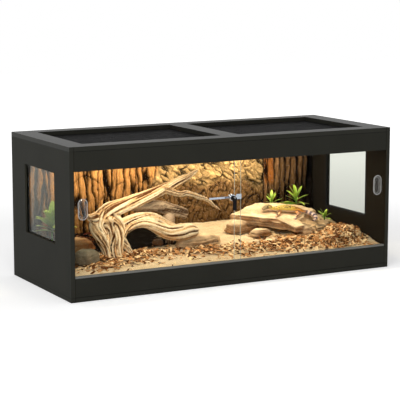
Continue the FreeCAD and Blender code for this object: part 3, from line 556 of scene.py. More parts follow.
def remeshed(node, grain, *chunks):
    """A node's solid with any chunks that belong to it, as an even, fine skin, ready to be painted."""
    bm = bmesh.new()
    bm.from_mesh(NODES[node].data)
    bm.transform(NODES[node].matrix_world)
    for corners in chunks:
        bmesh.ops.convex_hull(bm, input=[bm.verts.new(corner) for corner in corners])
    return even_skin(bm, grain)


# Layers of stone: fine beds and open partings per metre of height, and facets per metre.
FINE_BEDS = 190
PARTINGS = 78
FACETS = 40


def weather(bm, relief, scale, paint, layers=0.0, seed=0.0, soften=2, facets=0.0):
    """Roughens a stone along its normals, cuts its sides into layers, and paints it."""
    tint = bm.verts.layers.float_color["tint"]
    for _ in range(soften):
        bmesh.ops.smooth_vert(bm, verts=bm.verts, factor=0.5,
                              use_axis_x=True, use_axis_y=True, use_axis_z=True)
    bm.normal_update()
    moved = []
    for v in bm.verts:
        steep = 1 - abs(v.normal.z)
        bed = v.co.z - 0.2 * v.co.y + 0.004 * rough(v.co, 30)
        strata = noise.noise(Vector((v.co.x * 6, v.co.y * 6 + seed, bed * FINE_BEDS)))
        bump = rough(v.co + Vector((seed, 0, 0)), scale)
        broken = edges_of_cells(v.co * FACETS + Vector((seed, 0, 0)))[1] - 0.5
        parting = 1 - step(0.0, 0.22, abs((bed * PARTINGS + seed) % 1 - 0.5)) if facets else 0.0
        shift = relief * bump + steep * (layers * strata + facets * broken - 0.002 * parting)
        layer = steep * (0.7 * strata + 75 * facets * broken - 0.7 * parting)
        moved.append((v, v.normal * shift, bump, layer))
    for v, shift, bump, layer in moved:
        v.co += shift
        v[tint] = (*paint(v, bump, layer), 1)
    return bm


def tube(bm, path, widths, paint, flat=1.0, sides=16, rings=60, lift=(0, 0, 1)):
    """A smooth closed body through a path, with an even section."""
    tint = bm.verts.layers.float_color["tint"]
    up = Vector(lift)
    half = [Vector((w, 0, 0)) for w in widths]
    made = bmesh.ops.create_grid(bm, x_segments=sides, y_segments=rings, size=0.5)["verts"]
    for v in made:
        t, turn = v.co.y + 0.5, (v.co.x + 0.5) * math.tau
        ahead = heading(path, t, 0.01)
        side = ahead.cross(up).normalized()
        over = side.cross(ahead)
        closing = min(1.0, t / 0.03, (1 - t) / 0.03) ** 0.5 if 0 < t < 1 else 0.0
        radius = max(along(half, t).x, 0.0) * closing
        v.co = along(path, t) + side * (radius * math.cos(turn)) + over * (radius * flat * math.sin(turn))
        v[tint] = (*paint(t, math.sin(turn)), 1)
    bmesh.ops.remove_doubles(bm, verts=made, dist=1e-6)


# The cabinet.

# The wires: their pitch and thickness, and how far in from the mesh's edge the first and last one lie.
WIRE_PITCH = 0.0021
WIRE_THICKNESS = 0.0007
WIRE_INSET = 0.0004
# The back's screws: how far in from the panel's edge, how many along it, a head's two radii and its height,
# and the shares that draw its recess in to a cross.
SCREW_INSET = 0.012
SCREWS_ALONG = 6
SCREW_RADII = (0.0035, 0.0027)
SCREW_HEIGHT = 0.001
CROSS = (1.0, 0.55, 0.35, 0.55)
# The doors' ground edges, along X.
LEFT_EDGE, RIGHT_EDGE = 0.014, -0.014


def make_cabinet(settings):
    """Finishes for the boards, the glass, the runners, the lock and the frames."""
    board = tuple(settings.board)
    dress(coated_board("Top board", board, 0.3, gloss=0.035), "top_frame")
    dress(coated_board("Board", board), "base_panel")
    # The inside is painted darker and warmer: painted shade, warmed as by the lamps inside.
    side = coated_board("Side", board, inside_shade=(0.115, 0.10, 0.075))
    dress(side, "left_side_panel", "right_side_panel")
    # The rails are the same board painted a little darker, as painted shade on the front.
    dress(coated_board("Rail", scaled(board, 0.95)), "front_bottom_rail", "front_top_rail", "runner_cover")
    dress(moulded("Back", (0.16, 0.155, 0.15), 0.7), "back_panel")
    dress(thin_glass("Left door", LEFT_EDGE), "left_glass_door")
    dress(thin_glass("Right door", RIGHT_EDGE), "right_glass_door")
    window = thin_glass("Window", shine=1.065, clear=(0.81, 0.815, 0.775))
    dress(window, "left_window_pane", "right_window_pane")
    dress(moulded("Runner", (0.45, 0.45, 0.43), 0.4), "lower_runner", "upper_runner")
    dress(moulded("Frame", (0.11, 0.11, 0.11), 0.5, gloss=0.06), "left_mesh_frame", "right_mesh_frame",
          "left_window_beads", "right_window_beads")
    for pull in ("left_finger_pull", "right_finger_pull"):
        dress(clear_plastic("Clear " + pull, pull), pull)
    dress(metal("Chrome", (0.44, 0.48, 0.54), 0.16), "lock_bar", "lock_barrel")
    dress(metal("Steel", (0.5, 0.5, 0.5), 0.3), "key_blade")
    dress(moulded("Black", (0.07, 0.07, 0.07), 0.4, gloss=0.08), "lock_plug", "key_head")
    dress(pale_wood("Beech"), "edge_dowels")


def make_wires(settings):
    """The fine wire meshes in the top: wires along and across."""
    wire = moulded("Wire", (0.12, 0.12, 0.12), settings.wire_gloss, grain=900, gloss=0.04)
    for side in ("left", "right"):
        low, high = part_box(f"{side}_mesh")
        middle, reach = (low + high) / 2, high - low
        bm = bmesh.new()
        for axis in (0, 1):
            count = int(reach[axis] / WIRE_PITCH)
            for k in range(count + 1):
                size, place = reach.copy(), middle.copy()
                size[axis], size.z = WIRE_THICKNESS, reach.z * 0.6
                place[axis] = low[axis] + WIRE_INSET + k * (reach[axis] - 2 * WIRE_INSET) / count
                place.z += reach.z * (0.2 if axis else -0.2)
                where = Matrix.Translation(place) @ Matrix.Diagonal((*size, 1))
                bmesh.ops.create_cube(bm, size=1.0, matrix=where)
        add_piece(f"{side}_wire_mesh", bm, wire, (f"{side}_mesh",), smooth=False)


def make_screws():
    """The screws round the back panel: flat heads with a cross recess."""
    low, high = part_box("back_panel")
    pitch = (high.x - low.x - 2 * SCREW_INSET) / (SCREWS_ALONG - 1)
    across = [low.x + SCREW_INSET + k * pitch for k in range(SCREWS_ALONG)]
    spots = [(x, z) for x in across for z in (low.z + SCREW_INSET, high.z - SCREW_INSET)]
    spots += [(x, (low.z + high.z) / 2) for x in (across[0], across[-1])]
    bm = bmesh.new()
    for x, z in spots:
        where = Matrix.Translation((x, high.y + 0.0003, z)) @ Matrix.Rotation(-math.pi / 2, 4, "X")
        head = bmesh.ops.create_cone(bm, cap_ends=True, segments=16, radius1=SCREW_RADII[0],
                                     radius2=SCREW_RADII[1], depth=SCREW_HEIGHT, matrix=where)["verts"]
        faces = {face for v in head for face in v.link_faces}
        top = max(faces, key=lambda face: face.calc_center_median().y)
        bmesh.ops.inset_region(bm, faces=[top], thickness=0.0006)
        middle = top.calc_center_median()
        for k, v in enumerate(top.verts):
            v.co = middle + (v.co - middle) * CROSS[k % len(CROSS)]
        recess = bmesh.ops.extrude_discrete_faces(bm, faces=[top])["faces"][0]
        bmesh.ops.translate(bm, verts=recess.verts, vec=(0, -0.0007, 0))
    add_piece("back_screws", bm, metal("Screw", (0.35, 0.35, 0.36), 0.35), smooth=False)


# Bark.

# Places along X: the end of the plates at the left, the wide gap between two of them, the start of the
# columns at the right, the dark seam there, and the bright tongue on the first column.
PLATES_END = -0.085
PLATE_GAP = -0.262
COLUMNS_START = 0.370
SEAM = 0.368
TONGUE = 0.394
LOW_CORK = plain((0.58, 0.42, 0.25))
TONGUE_COLOUR = plain((0.88, 0.54, 0.24))
BARK_GRID = (510, 184)
BARK_THICKNESS = 0.011


def bark_zones(x, z, bend):
    """Shares of plates, cork and columns at a place, and how far up in the cork it lies, from 0 to 1."""
    plates = 1 - step(-0.010, 0.010, x - PLATES_END - 0.6 * (z - 0.3) + bend)
    columns = step(COLUMNS_START - 0.008, COLUMNS_START + 0.008, x + 0.3 * bend)
    high = step(0.252, 0.285, z + 0.03 * noise.noise(Vector((x * 13, 5, 1))) + 0.06 * (x - 0.15))
    return plates, max(0.0, 1 - plates - columns), columns, high


def cork(x, z, bend, high):
    """The cork's cracks, 0 in one and 1 away from it, and signed numbers for the torn flake and the tile."""
    over, down = (x + z + 3 * bend) * 40, (x - z + 2 * bend) * 17
    tears, tear = edges_of_cells(Vector((over, down, 7.5)))
    tiles, tile = edges_of_cells(Vector(((x + 2 * bend) * 62, (z + 3 * bend) * 30, 8.5)))
    open_tear = step(-0.35, 0.15, noise.noise(Vector((over * 0.4, down, 3))) + 0.6 * (tear - 0.5))
    open_tile = step(-0.55, 0.05, noise.noise(Vector((x * 23, z * 14, 6))) + 0.6 * (tile - 0.5))
    split = abs(noise.fractal(Vector(((x + 0.9 * z) * 14, (z - 0.27 * x) * 14, 14)), 0.85, 2.1, 5))
    torn = 1 - open_tear * (1 - step(0.03, 0.20 * open_tear + 0.04, tears))
    torn *= 0.5 + 0.5 * step(0.0, 0.07, split)
    crazed = 1 - 0.9 * open_tile * (1 - step(0.01, 0.17, tiles))
    return high * torn + (1 - high) * crazed, tear - 0.5, tile - 0.5


def bark_point(x, z, colours):
    """Relief, from 0 to 1.2, and colour of the bark panel at a place, with painted light and shade in the
    colour.
    """
    golden, pale, brown = colours
    bend = 0.010 * noise.noise(Vector((x * 6, z * 5, 3))) + 0.005 * noise.noise(Vector((x * 30, z * 26, 9)))
    bend += 0.0022 * noise.noise(Vector((x * 60, z * 95, 5)))
    left, middle, right, high = bark_zones(x, z, bend)
    upright = left + right
    whole, tear, tile = cork(x, z, bend, high)
    plates, plate = edges_of_cells(Vector(((x + bend) * (46 - 5 * right), z * 4.2, 1.5)))
    flakes, flake = edges_of_cells(Vector(((x + bend) * 21, (z - bend) * 9, 2.5)))
    ridge = rough((x, z * 0.16, 0), 170)
    crumble = rough((x, z, 0), 75, 6)
    lumps = rough((x + 0.5 * z, z - 0.3 * x, 4), 24, 3)

    column = step(0.02, 0.22 + 0.2 * right, plates)
    split = step(0.0, 0.07, flakes)
    wide = 1 - left * step(0.009, 0.004, abs(x - PLATE_GAP + 0.3 * (z - 0.3) + 1.2 * bend))
    seam = step(0.002, 0.005, abs(x - SEAM + 0.5 * bend))
    # Painted shade: the colour is darkened nearly to black between plates and columns, in the wide gap, the
    # seam and the cork's cracks.
    gap_shade = 1 - upright * (0.97 * (1 - step(0.03, 0.27, plates)) + 0.45 * (1 - split))
    gap_shade *= wide * (0.08 + 0.92 * seam)
    cracks = 1 - 0.92 * middle * (1 - whole)

    relief = upright * (column * (0.42 + 0.34 * plate) + 0.16 * ridge) * (0.75 + 0.25 * split) * wide
    flat = high * (0.3 * tear + 0.2 * lumps) + (1 - high) * 0.2 * tile
    relief += middle * (0.5 + flat + 0.12 * crumble) * (0.3 + 0.7 * cracks)

    # Painted highlight: the tone is lighter where plates, ridges, lumps and tiles stand out further.
    tone = 0.78 + 0.3 * (plate - 0.3) * upright + 0.32 * ridge * upright + 0.12 * (flake - 0.5)
    tone += middle * (0.3 * crumble + 0.3 * high * (lumps + tear) + 0.25 * (1 - high) * tile)
    base = blend(blend(golden, pale, middle), brown, right)
    base = blend(base, LOW_CORK, 0.85 * middle * (1 - high))
    tongue = step(0.021, 0.016, abs(x - TONGUE)) * step(0.236, 0.262, z)
    base = blend(base, TONGUE_COLOUR, 0.8 * tongue)
    # Painted light: darker towards the sand and towards the right end, nearly black there, where the lamps'
    # light is weak.
    light = 0.4 + 0.6 * step(0.1, 0.36, z)
    light *= (1 - 0.62 * step(0.22, 0.50, x)) * (1 - 0.96 * step(0.53, 0.565, x))
    return held(relief, 0.0, 1.2), scaled(base, max(tone, 0.12) * max(gap_shade * cracks, 0.02) * light)


def make_bark(settings):
    """The bark panel: upright plates at the left, cork in the middle, rounded columns at the right."""
    low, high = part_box("bark_backdrop")
    colours = [plain(colour) for colour in (settings.golden, settings.cork, settings.brown)]
    points = {}

    def shape(u, w):
        x, z = low.x + u * (high.x - low.x), low.z + w * (high.z - low.z)
        points[u, w] = bark_point(x, z, colours)
        return Vector((x, BACK_FACE - BARK_THICKNESS - settings.relief * points[u, w][0], z))

    bm = grid(*BARK_GRID, shape, lambda u, w: points[u, w][1])
    close_behind(bm, lambda p: Vector((p.x, BACK_FACE - CLEAR, p.z)))
    add_piece("bark", bm, painted_relief("Bark", 420, 0.0012, fleck=(0.62, 1.25), stretch=(1, 1, 0.35)),
              ("bark_backdrop",))


# Sand and chips.

# Where the chips lie: middle x, middle y, half sizes, share of the chips.
CHIP_BEDS = (
    (0.43, -0.11, 0.16, 0.105, 0.34), (0.22, -0.13, 0.14, 0.062, 0.2), (-0.01, -0.125, 0.15, 0.05, 0.15),
    (-0.27, -0.085, 0.17, 0.05, 0.12), (-0.42, -0.15, 0.13, 0.05, 0.09), (0.53, -0.02, 0.05, 0.09, 0.1),
    (0.46, -0.11, 0.12, 0.08, 0.5),
)
# Loose chips: two ranges of length, their thickness, their width as a share of the length, and the shares
# of pale, red and dark ones.
CHIP_LENGTHS = ((0.007, 0.014), (0.013, 0.027))
CHIP_THICKNESS = (0.0012, 0.0026)
CHIP_WIDTH = (0.25, 0.5)
CHIP_COLOURS = (0.34, 0.42, 0.24)
# The share of chips that lie outside the beds.
STRAY_CHIPS = 0.035
# A low mound of sand: its middle, half sizes and height.
MOUND = (0.51, -0.115, 0.11, 0.075)
MOUND_HEIGHT = 0.011
SAND_GRID = (330, 130)
# Painted shade under the chips: the sand is browned where they lie thick.
SAND_UNDER_CHIPS = plain((0.46, 0.29, 0.17))
# Painted shade behind and under the arches: near black, in the colour of dark earth, with specks.
ARCH_SHADE, ARCH_SHADE_SPECK = plain((0.04, 0.03, 0.02)), plain((0.07, 0.052, 0.035))


def oval(x, y, mid_x, mid_y, half_x, half_y):
    """How far out a place lies in an oval: 0 in its middle and 1 on its rim."""
    return math.hypot((x - mid_x) / half_x, (y - mid_y) / half_y)


def chip_cover(x, y):
    """How thick the chips lie, from 0 to 1."""
    cover = 0.0
    for *bed, share in CHIP_BEDS:
        thick = min(share / bed[2] / bed[3] / 22, 1)
        cover = max(cover, (1 - step(0.55, 1.15, oval(x, y, *bed))) * thick)
    return cover


def sand_height(x, y, ripple):
    """Height of the sand: even, with low dunes, small waves and a mound."""
    dune = 0.006 * noise.noise(Vector((x * 4.5, y * 5.5, 2)))
    wave = ripple * noise.noise(Vector((x * 26 + 2 * y, y * 55, 1)))
    edge = step(0.0, 0.03, y - SAND_FRONT)
    mound = MOUND_HEIGHT * (1 - step(0.45, 1.4, oval(x, y, *MOUND)))
    return sand_level(y) - 0.003 + edge * (dune + wave + mound) + 0.004 * chip_cover(x, y)


def make_sand(settings):
    """The sand bed: painted shade, brown under the chips and near black behind the arches at the back left.
    """
    colour = plain(settings.colour)

    def place(u, w):
        return -INNER_HALF + u * 2 * INNER_HALF, SAND_FRONT + w * (BACK_FACE - 0.012 - SAND_FRONT)

    def shape(u, w):
        x, y = place(u, w)
        return Vector((x, y, sand_height(x, y, settings.ripple)))

    def paint(u, w):
        x, y = place(u, w)
        speck = rough((x, y, 0), 45)
        ragged = 0.03 * speck + 0.05 * noise.noise(Vector((x * 9, y * 9, 4)))
        # Painted shade behind and under the arches, with ragged edges.
        arch_shade = step(-0.035, -0.005, y + 0.3 * ragged)
        arch_shade *= 1 - step(-0.13, -0.07, x + 0.3 * min(y - 0.1, 0.0) + ragged)
        arch_shade *= 1 - step(0.53, 0.57, -x)
        # Painted shade under the chips, where they lie thick.
        tone = blend(colour, SAND_UNDER_CHIPS, held(0.85 * chip_cover(x, y) + 0.12 * speck))
        return blend(tone, ARCH_SHADE_SPECK if speck > 0.1 else ARCH_SHADE, arch_shade)

    bm = grid(*SAND_GRID, shape, paint)
    close_behind(bm, lambda p: Vector((p.x, p.y, SAND_FLOOR + CLEAR)))
    add_piece("sand", bm, sand_grains("Sand"), ("sand_bed",))


def ground():
    """The sand, the heaps and the moss as they lie, to drop things on."""
    bm = bmesh.new()
    for name in ("sand", "chip_heap", "chip_scatter", "moss"):
        if name in bpy.data.objects:
            bm.from_mesh(bpy.data.objects[name].data)
    tree = BVHTree.FromBMesh(bm)
    bm.free()
    return tree


def drop(floor, x, y):
    """Where something dropped inside the cabinet meets the ground, and the ground's normal there."""
    return floor.ray_cast(Vector((x, y, DROP_HEIGHT)), Vector((0, 0, -1)))[:2]


def make_heaps(settings):
    """The heaps that the chips lie on. Round one place at the right they are flattened to half."""
    # Painted shade between the chips: dark in the heaps' hollows, red where they stand out.
    dark, red = scaled(plain(settings.dark), 0.6), plain(settings.red)

    def paint(v, bump, layer):
        return blend(dark, red, held(0.3 + bump))

    for name, node in (("chip_heap", "mulch_heap"), ("chip_scatter", "mulch_scatter")):
        bm = weather(remeshed(node, 0.004), 0.003, 60, paint, soften=12)
        for v in bm.verts:
            flattened = 0.5 * step(0.50, 0.40, v.co.x) * step(0.3, 0.4, v.co.x)
            v.co.z -= (v.co.z - SAND_LOW) * flattened
        add_piece(name, bm, painted_relief(name.title(), 900, 0.002), (node,))


def chip_spot(dice):
    """A place for a chip, most often in one of the beds."""
    mid_x, mid_y, half_x, half_y, _ = dice.choices(CHIP_BEDS, [bed[-1] for bed in CHIP_BEDS])[0]
    x = mid_x + half_x * held(dice.gauss(0, 0.55), -1.6, 1.6)
    y = mid_y + half_y * held(dice.gauss(0, 0.6), -1.9, 1.6)
    if dice.random() < STRAY_CHIPS:
        x, y = dice.uniform(-0.56, 0.56), dice.uniform(SAND_FRONT + 0.01, -0.02)
    return x, y


def lay_chip(bm, dice, hit, normal, longer, cover, colours):
    """One chip: a thin box that lies askew, with its corners drawn in and out."""
    tint = bm.verts.layers.float_color["tint"]
    long = dice.choice([dice.uniform(*ends) for ends in CHIP_LENGTHS]) * longer
    size = Matrix.Diagonal((long, dice.uniform(*CHIP_WIDTH) * long, dice.uniform(*CHIP_THICKNESS), 1))
    tilt = Matrix.Rotation(dice.gauss(0, 0.32), 4, "X") @ Matrix.Rotation(dice.gauss(0, 0.3), 4, "Y")
    turn = Matrix.Rotation(dice.uniform(0, math.tau), 4, "Z")
    lift = Vector((0, 0, dice.uniform(0.0, 0.0065) * (0.35 + cover)))
    upright = normal.to_track_quat("Z", "Y").to_matrix().to_4x4()
    where = Matrix.Translation(hit + lift) @ (upright @ turn) @ tilt @ size
    flake = bmesh.ops.create_cube(bm, size=1.0, matrix=where)["verts"]
    shade = dice.choices(colours, CHIP_COLOURS)[0]
    shade = scaled(shade, dice.uniform(0.7, 1.2))
    middle = where @ Vector()
    for v in flake:
        v.co = middle + (v.co - middle) * dice.uniform(0.6, 1.05)
        v[tint] = (*shade, 1)


def make_chips(settings):
    """Loose bark chips, dropped on the sand and the heaps."""
    dice = random.Random(settings.seed)
    floor = ground()
    colours = [plain(colour) for colour in (settings.pale, settings.red, settings.dark)]
    bm = painted_mesh()
    laid = 0
    while laid < settings.count:
        x, y = chip_spot(dice)
        if abs(x) > INNER_HALF - 0.014 or y < SAND_FRONT + 0.009 or y > 0.12:
            continue
        hit, normal = drop(floor, x, y)
        if hit is None:
            continue
        laid += 1
        lay_chip(bm, dice, hit, normal, 1.15 if x > 0.2 else 1.0, chip_cover(x, y), colours)
    finish = painted_relief("Chips", 700, 0.0006, 0.85, (0.7, 1.2))
    add_piece("chips", bm, finish, smooth=False)


# Stones.

TAN = (0.74, 0.60, 0.42)
# Each stone: piece, node, colour (or the name of one in the settings), relief, how fine the relief is,
# depth of the layers, grain of the skin, rust, painted shade on the sides, rounds of softening, facets.
STONES = (
    ("slab", "rock_slab", "slab", 0.0014, 30, 0.004, 0.0026, 0.3, 0.7, 1, 0.007),
    ("step_rear", "slab_step_rear", "slab", 0.0018, 30, 0.005, 0.0026, 0.3, 0.8, 1, 0.006),
    ("step_front", "slab_step_front", "slab", 0.0018, 34, 0.004, 0.0026, 0.3, 0.8, 1, 0.006),
    ("prop", "slab_prop", TAN, 0.003, 34, 0.004, 0.0035, 0.4, 0.8, 2, 0.0),
    ("boulder_grey", "grey_boulder", "dark", 0.0022, 20, 0.0016, 0.0032, 0.1, 0.1, 8, 0.0),
    ("boulder_rear", "rock_back_left", TAN, 0.004, 26, 0.004, 0.0035, 0.4, 0.5, 2, 0.004),
    ("boulder_dark", "dark_boulder", (0.30, 0.25, 0.20), 0.002, 28, 0.001, 0.003, 0.1, 0.2, 6, 0.0),
    ("stone_flat", "flat_stone", (0.86, 0.75, 0.58), 0.0018, 30, 0.004, 0.003, 0.25, 0.35, 2, 0.004),
    ("stone_round", "pebble", (0.72, 0.62, 0.50), 0.001, 30, 0.0, 0.0028, 0.2, 0.0, 6, 0.0),
)
# How strongly a stone is painted lighter where it stands out and darker in its layers: painted highlight and
# shade.
STONE_CONTRAST = 0.35
# The brown of rust stains, also used for the painted shade on steep sides.
RUST_AND_SHADE = plain((0.62, 0.42, 0.24))


# Chunks of the slab, by their corners in metres: the broken end that reaches down to the sand in front,
# and the layer under the front edge.
SLAB_CHUNKS = (
    ((0.362, -0.070, 0.096), (0.402, -0.084, 0.096), (0.468, -0.062, 0.099), (0.509, -0.014, 0.104),
     (0.508, 0.032, 0.108), (0.390, 0.032, 0.112), (0.366, -0.060, 0.128), (0.408, -0.074, 0.136),
     (0.466, -0.054, 0.140), (0.509, -0.008, 0.145), (0.508, 0.034, 0.149), (0.390, 0.034, 0.149)),
    ((0.175, 0.052, 0.145), (0.230, 0.022, 0.138), (0.290, -0.012, 0.128), (0.350, -0.045, 0.112),
     (0.365, -0.020, 0.115), (0.300, 0.030, 0.135), (0.220, 0.060, 0.146), (0.165, 0.056, 0.160),
     (0.225, 0.018, 0.156), (0.290, -0.018, 0.146), (0.352, -0.052, 0.130), (0.370, -0.020, 0.132),
     (0.300, 0.030, 0.150), (0.220, 0.060, 0.160)),
)
# The ledge where the slab's top broke off: its corner, the ways along and across its edge, its depth.
LEDGE_CORNER = Vector((0.36, -0.058, 0))
LEDGE_WAY = Vector((0.861, 0.509, 0))
LEDGE_ACROSS = Vector((-LEDGE_WAY.y, LEDGE_WAY.x, 0))
LEDGE_DEPTH = 0.013
BREAK_DARK, BREAK_PALE = plain((0.34, 0.28, 0.21)), plain((0.86, 0.72, 0.52))


def stone_paint(colour, rust, sides):
    """Colours of a stone, with painted light: paler where it stands out, darker and browner as shade in the
    layers of its sides.
    """
    base = plain(colour)

    def paint(v, bump, layer):
        steep = (1 - abs(v.normal.z)) ** 0.7
        # Painted light: paler where the stone stands out, darker in its open partings, and darker, browner
        # shade on steep sides.
        light = 1 + STONE_CONTRAST * (bump + 1.6 * layer)
        tone = blend(base, RUST_AND_SHADE, held(rust * (0.25 + noise.noise(v.co * 22)) + sides * steep))
        return scaled(tone, max(light, 0.2) * (1 - 0.3 * sides * steep))

    return paint


def break_ledge(bm):
    """Lowers the slab's top along its right front edge, as if a layer had come off."""
    for v in bm.verts:
        spot = v.co - LEDGE_CORNER
        along_edge, in_from_edge = spot.dot(LEDGE_WAY), spot.dot(LEDGE_ACROSS)
        reach = 0.030 + 0.014 * noise.noise(Vector((along_edge * 45, 2, 0)))
        share = step(0.038, 0.042, along_edge) * (1 - step(reach, reach + 0.003, in_from_edge))
        v.co.z -= LEDGE_DEPTH * share * step(0.120, 0.128, v.co.z)


def stain_break(bm):
    """Colours the slab's broken end: brown facets, some dark and some pale."""
    tint = bm.verts.layers.float_color["tint"]
    for v in bm.verts:
        spot = v.co - LEDGE_CORNER
        ragged = noise.noise(v.co * 60) * 0.008
        share = step(0.016, 0.022, spot.dot(LEDGE_WAY) + ragged)
        share *= 1 - step(0.026, 0.032, spot.dot(LEDGE_ACROSS) + ragged)
        tone = blend(BREAK_DARK, BREAK_PALE, edges_of_cells(v.co * 52)[1])
        v[tint] = (*blend(tuple(v[tint])[:3], tone, 0.85 * share), 1)


def make_stones(settings):
    """The leaning slab with what carries it, the boulders and the pebble."""
    for k, (name, node, colour, relief, scale, layers, grain, *looks) in enumerate(STONES):
        rust, sides, soften, facets = looks
        if isinstance(colour, str):
            colour = getattr(settings, colour)
        skin = remeshed(node, grain, *(SLAB_CHUNKS if name == "slab" else ()))
        if name == "slab":
            break_ledge(skin)
        weather(skin, relief, scale, stone_paint(colour, rust, sides), layers, k * 3.7, soften, facets)
        if name == "slab":
            stain_break(skin)
        finish = painted_relief("Stone " + name, 520, 0.0014, fleck=(0.72, 1.2))
        add_piece(name, skin, finish, (node,))


# Driftwood. Each limb: its spots, then its thickness at each, as shares of the girth.

TRUNK = (
    [(-0.735, 0.335, 0.285), (-0.66, 0.345, 0.325), (-0.575, 0.37, 0.345), (-0.495, 0.39, 0.366),
     (-0.413, 0.4, 0.389), (-0.325, 0.42, 0.415), (-0.211, 0.44, 0.464), (-0.125, 0.45, 0.497),
     (-0.045, 0.46, 0.543)],
    (0.8, 1.1, 1.0, 0.92, 0.86, 0.74, 0.58, 0.44, 0.14))
STUB = ([(-0.7, 0.335, 0.285), (-0.755, 0.33, 0.285), (-0.8, 0.32, 0.305)], (1.0, 0.8, 0.3))
KNOT = ([(-0.765, 0.325, 0.275), (-0.7, 0.335, 0.275), (-0.64, 0.34, 0.27)], (0.75, 1.15, 0.9))
LEGS_OF_WOOD = [
    ([(-0.72, 0.33, 0.3), (-0.748, 0.32, 0.237), (-0.725, 0.31, 0.156), (-0.7, 0.305, 0.075),
      (-0.686, 0.3, -0.03)],
     (1.0, 0.92, 0.86, 0.62, 0.46)),
    ([(-0.688, 0.33, 0.269), (-0.668, 0.32, 0.19), (-0.684, 0.31, 0.1)], (0.85, 0.52, 0.42)),
    ([(-0.66, 0.345, 0.3), (-0.62, 0.33, 0.245), (-0.61, 0.32, 0.2), (-0.613, 0.31, 0.144),
      (-0.628, 0.3, 0.067), (-0.624, 0.29, -0.03)],
     (0.95, 0.82, 0.82, 0.8, 0.74, 0.6)),
    ([(-0.612, 0.32, 0.16), (-0.578, 0.312, 0.092), (-0.556, 0.31, 0.043), (-0.53, 0.3, -0.03)],
     (0.6, 0.46, 0.4, 0.36)),
]
UPPER_ARCH = (
    [(-0.632, 0.33, 0.2), (-0.587, 0.34, 0.228), (-0.521, 0.35, 0.25), (-0.455, 0.36, 0.256),
     (-0.399, 0.37, 0.248), (-0.342, 0.38, 0.222), (-0.296, 0.39, 0.184), (-0.239, 0.4, 0.148),
     (-0.17, 0.41, 0.12)],
    (0.6, 0.62, 0.62, 0.62, 0.62, 0.62, 0.62, 0.6, 0.5))
LOWER_ARCH = (
    [(-0.6, 0.315, 0.14), (-0.562, 0.325, 0.192), (-0.514, 0.33, 0.218), (-0.455, 0.335, 0.223),
     (-0.395, 0.34, 0.197), (-0.346, 0.345, 0.163), (-0.291, 0.35, 0.131), (-0.218, 0.36, 0.118),
     (-0.149, 0.37, 0.118), (-0.085, 0.378, 0.105)],
    (0.6, 0.62, 0.62, 0.64, 0.7, 0.8, 0.92, 1.05, 1.05, 0.6))
TWIG = (
    [(-0.3, 0.41, 0.44), (-0.19, 0.43, 0.386), (-0.13, 0.44, 0.383), (-0.05, 0.44, 0.346),
     (0.01, 0.45, 0.314), (0.05, 0.45, 0.272), (0.09, 0.45, 0.233)],
    (0.46, 0.38, 0.33, 0.29, 0.25, 0.19, 0.11))
LOG = (
    [(-0.52, 0.43, 0.325), (-0.4, 0.46, 0.302), (-0.32, 0.46, 0.298), (-0.246, 0.46, 0.271),
     (-0.181, 0.46, 0.243), (-0.127, 0.46, 0.216)],
    (0.6, 0.74, 0.84, 0.84, 0.8, 0.74))
LOG_ROOT = (
    [(-0.246, 0.46, 0.271), (-0.213, 0.5, 0.186), (-0.211, 0.52, 0.087), (-0.211, 0.52, -0.03)],
    (0.6, 0.5, 0.5, 0.56))
# The grey limb's ridges, its grooves with their painted shade, and the painted highlight on its ridges.
GREY_WOOD = ((0.60, 0.50, 0.39), (0.30, 0.22, 0.15), (0.80, 0.70, 0.56))
# How many spans each limb is measured in, and how many places on the limbs shape a point of the skin.
LIMB_SPANS = 80
NEAR_PLACES = 6


def limb_frames(limbs, girth):
    """A tree of places on the limbs, and for each: two ways across, share, limb and half width."""
    frames = []
    tree = KDTree(len(limbs) * (LIMB_SPANS + 1))
    for which, (path, widths) in enumerate(limbs):
        points = [inside(*spot) for spot in path]
        half = [Vector((w, 0, 0)) for w in widths]
        side = Vector((0, 0, 1))
        for k in range(LIMB_SPANS + 1):
            t = k / LIMB_SPANS
            ahead = heading(points, t, 0.02)
            if abs(ahead.dot(side)) > 0.98:
                side = Vector((1, 0, 0))
            side = (side - ahead * side.dot(ahead)).normalized()
            tree.insert(along(points, t), len(frames))
            frames.append((side.copy(), ahead.cross(side), t, which, max(along(half, t).x, 0.05) * girth))
    tree.balance()
    return tree, frames


def grooves(bm, limbs, girth, depth, paint, seed, ridges, twist=2.0, fine=0.4):
    """Weathers a merged skin: long twisted grooves that follow the nearest limb, and their colours."""
    tint = bm.verts.layers.float_color["tint"]
    tree, frames = limb_frames(limbs, girth)
    bm.normal_update()
    moves = []
    for v in bm.verts:
        swirl_sum, grooves_sum, total = 0.0, 0.0, 0.0
        for centre, k, away in tree.find_n(v.co, NEAR_PLACES):
            side, other, t, which, radius = frames[k]
            out = v.co - centre
            turn = math.atan2(out.dot(other), out.dot(side)) + twist * t
            weight = 1 / (away / radius + 0.05) ** 4
            where = Vector((math.cos(turn) * ridges, math.sin(turn) * ridges, t * 2.4 + which * 3.1 + seed))
            grooves_sum += weight * noise.fractal(where, 0.75, 2.15, 4)
            swirl_sum += weight * noise.noise(where * 0.7 + Vector((9, 0, 0)))
            total += weight
        groove, swirl = grooves_sum / total, swirl_sum / total
        sharp = -abs(groove * 1.5) ** 0.7 if groove < 0 else 0.5 * groove
        crumb = rough(v.co, 120, 3)
        move = v.normal * (depth * (sharp + 0.35 * swirl) + 0.0011 * crumb)
        moves.append((v, move, groove + fine * 0.3 * crumb, swirl))
    for v, move, groove, swirl in moves:
        v.co += move
        v[tint] = (*paint(groove, swirl, v.co), 1)


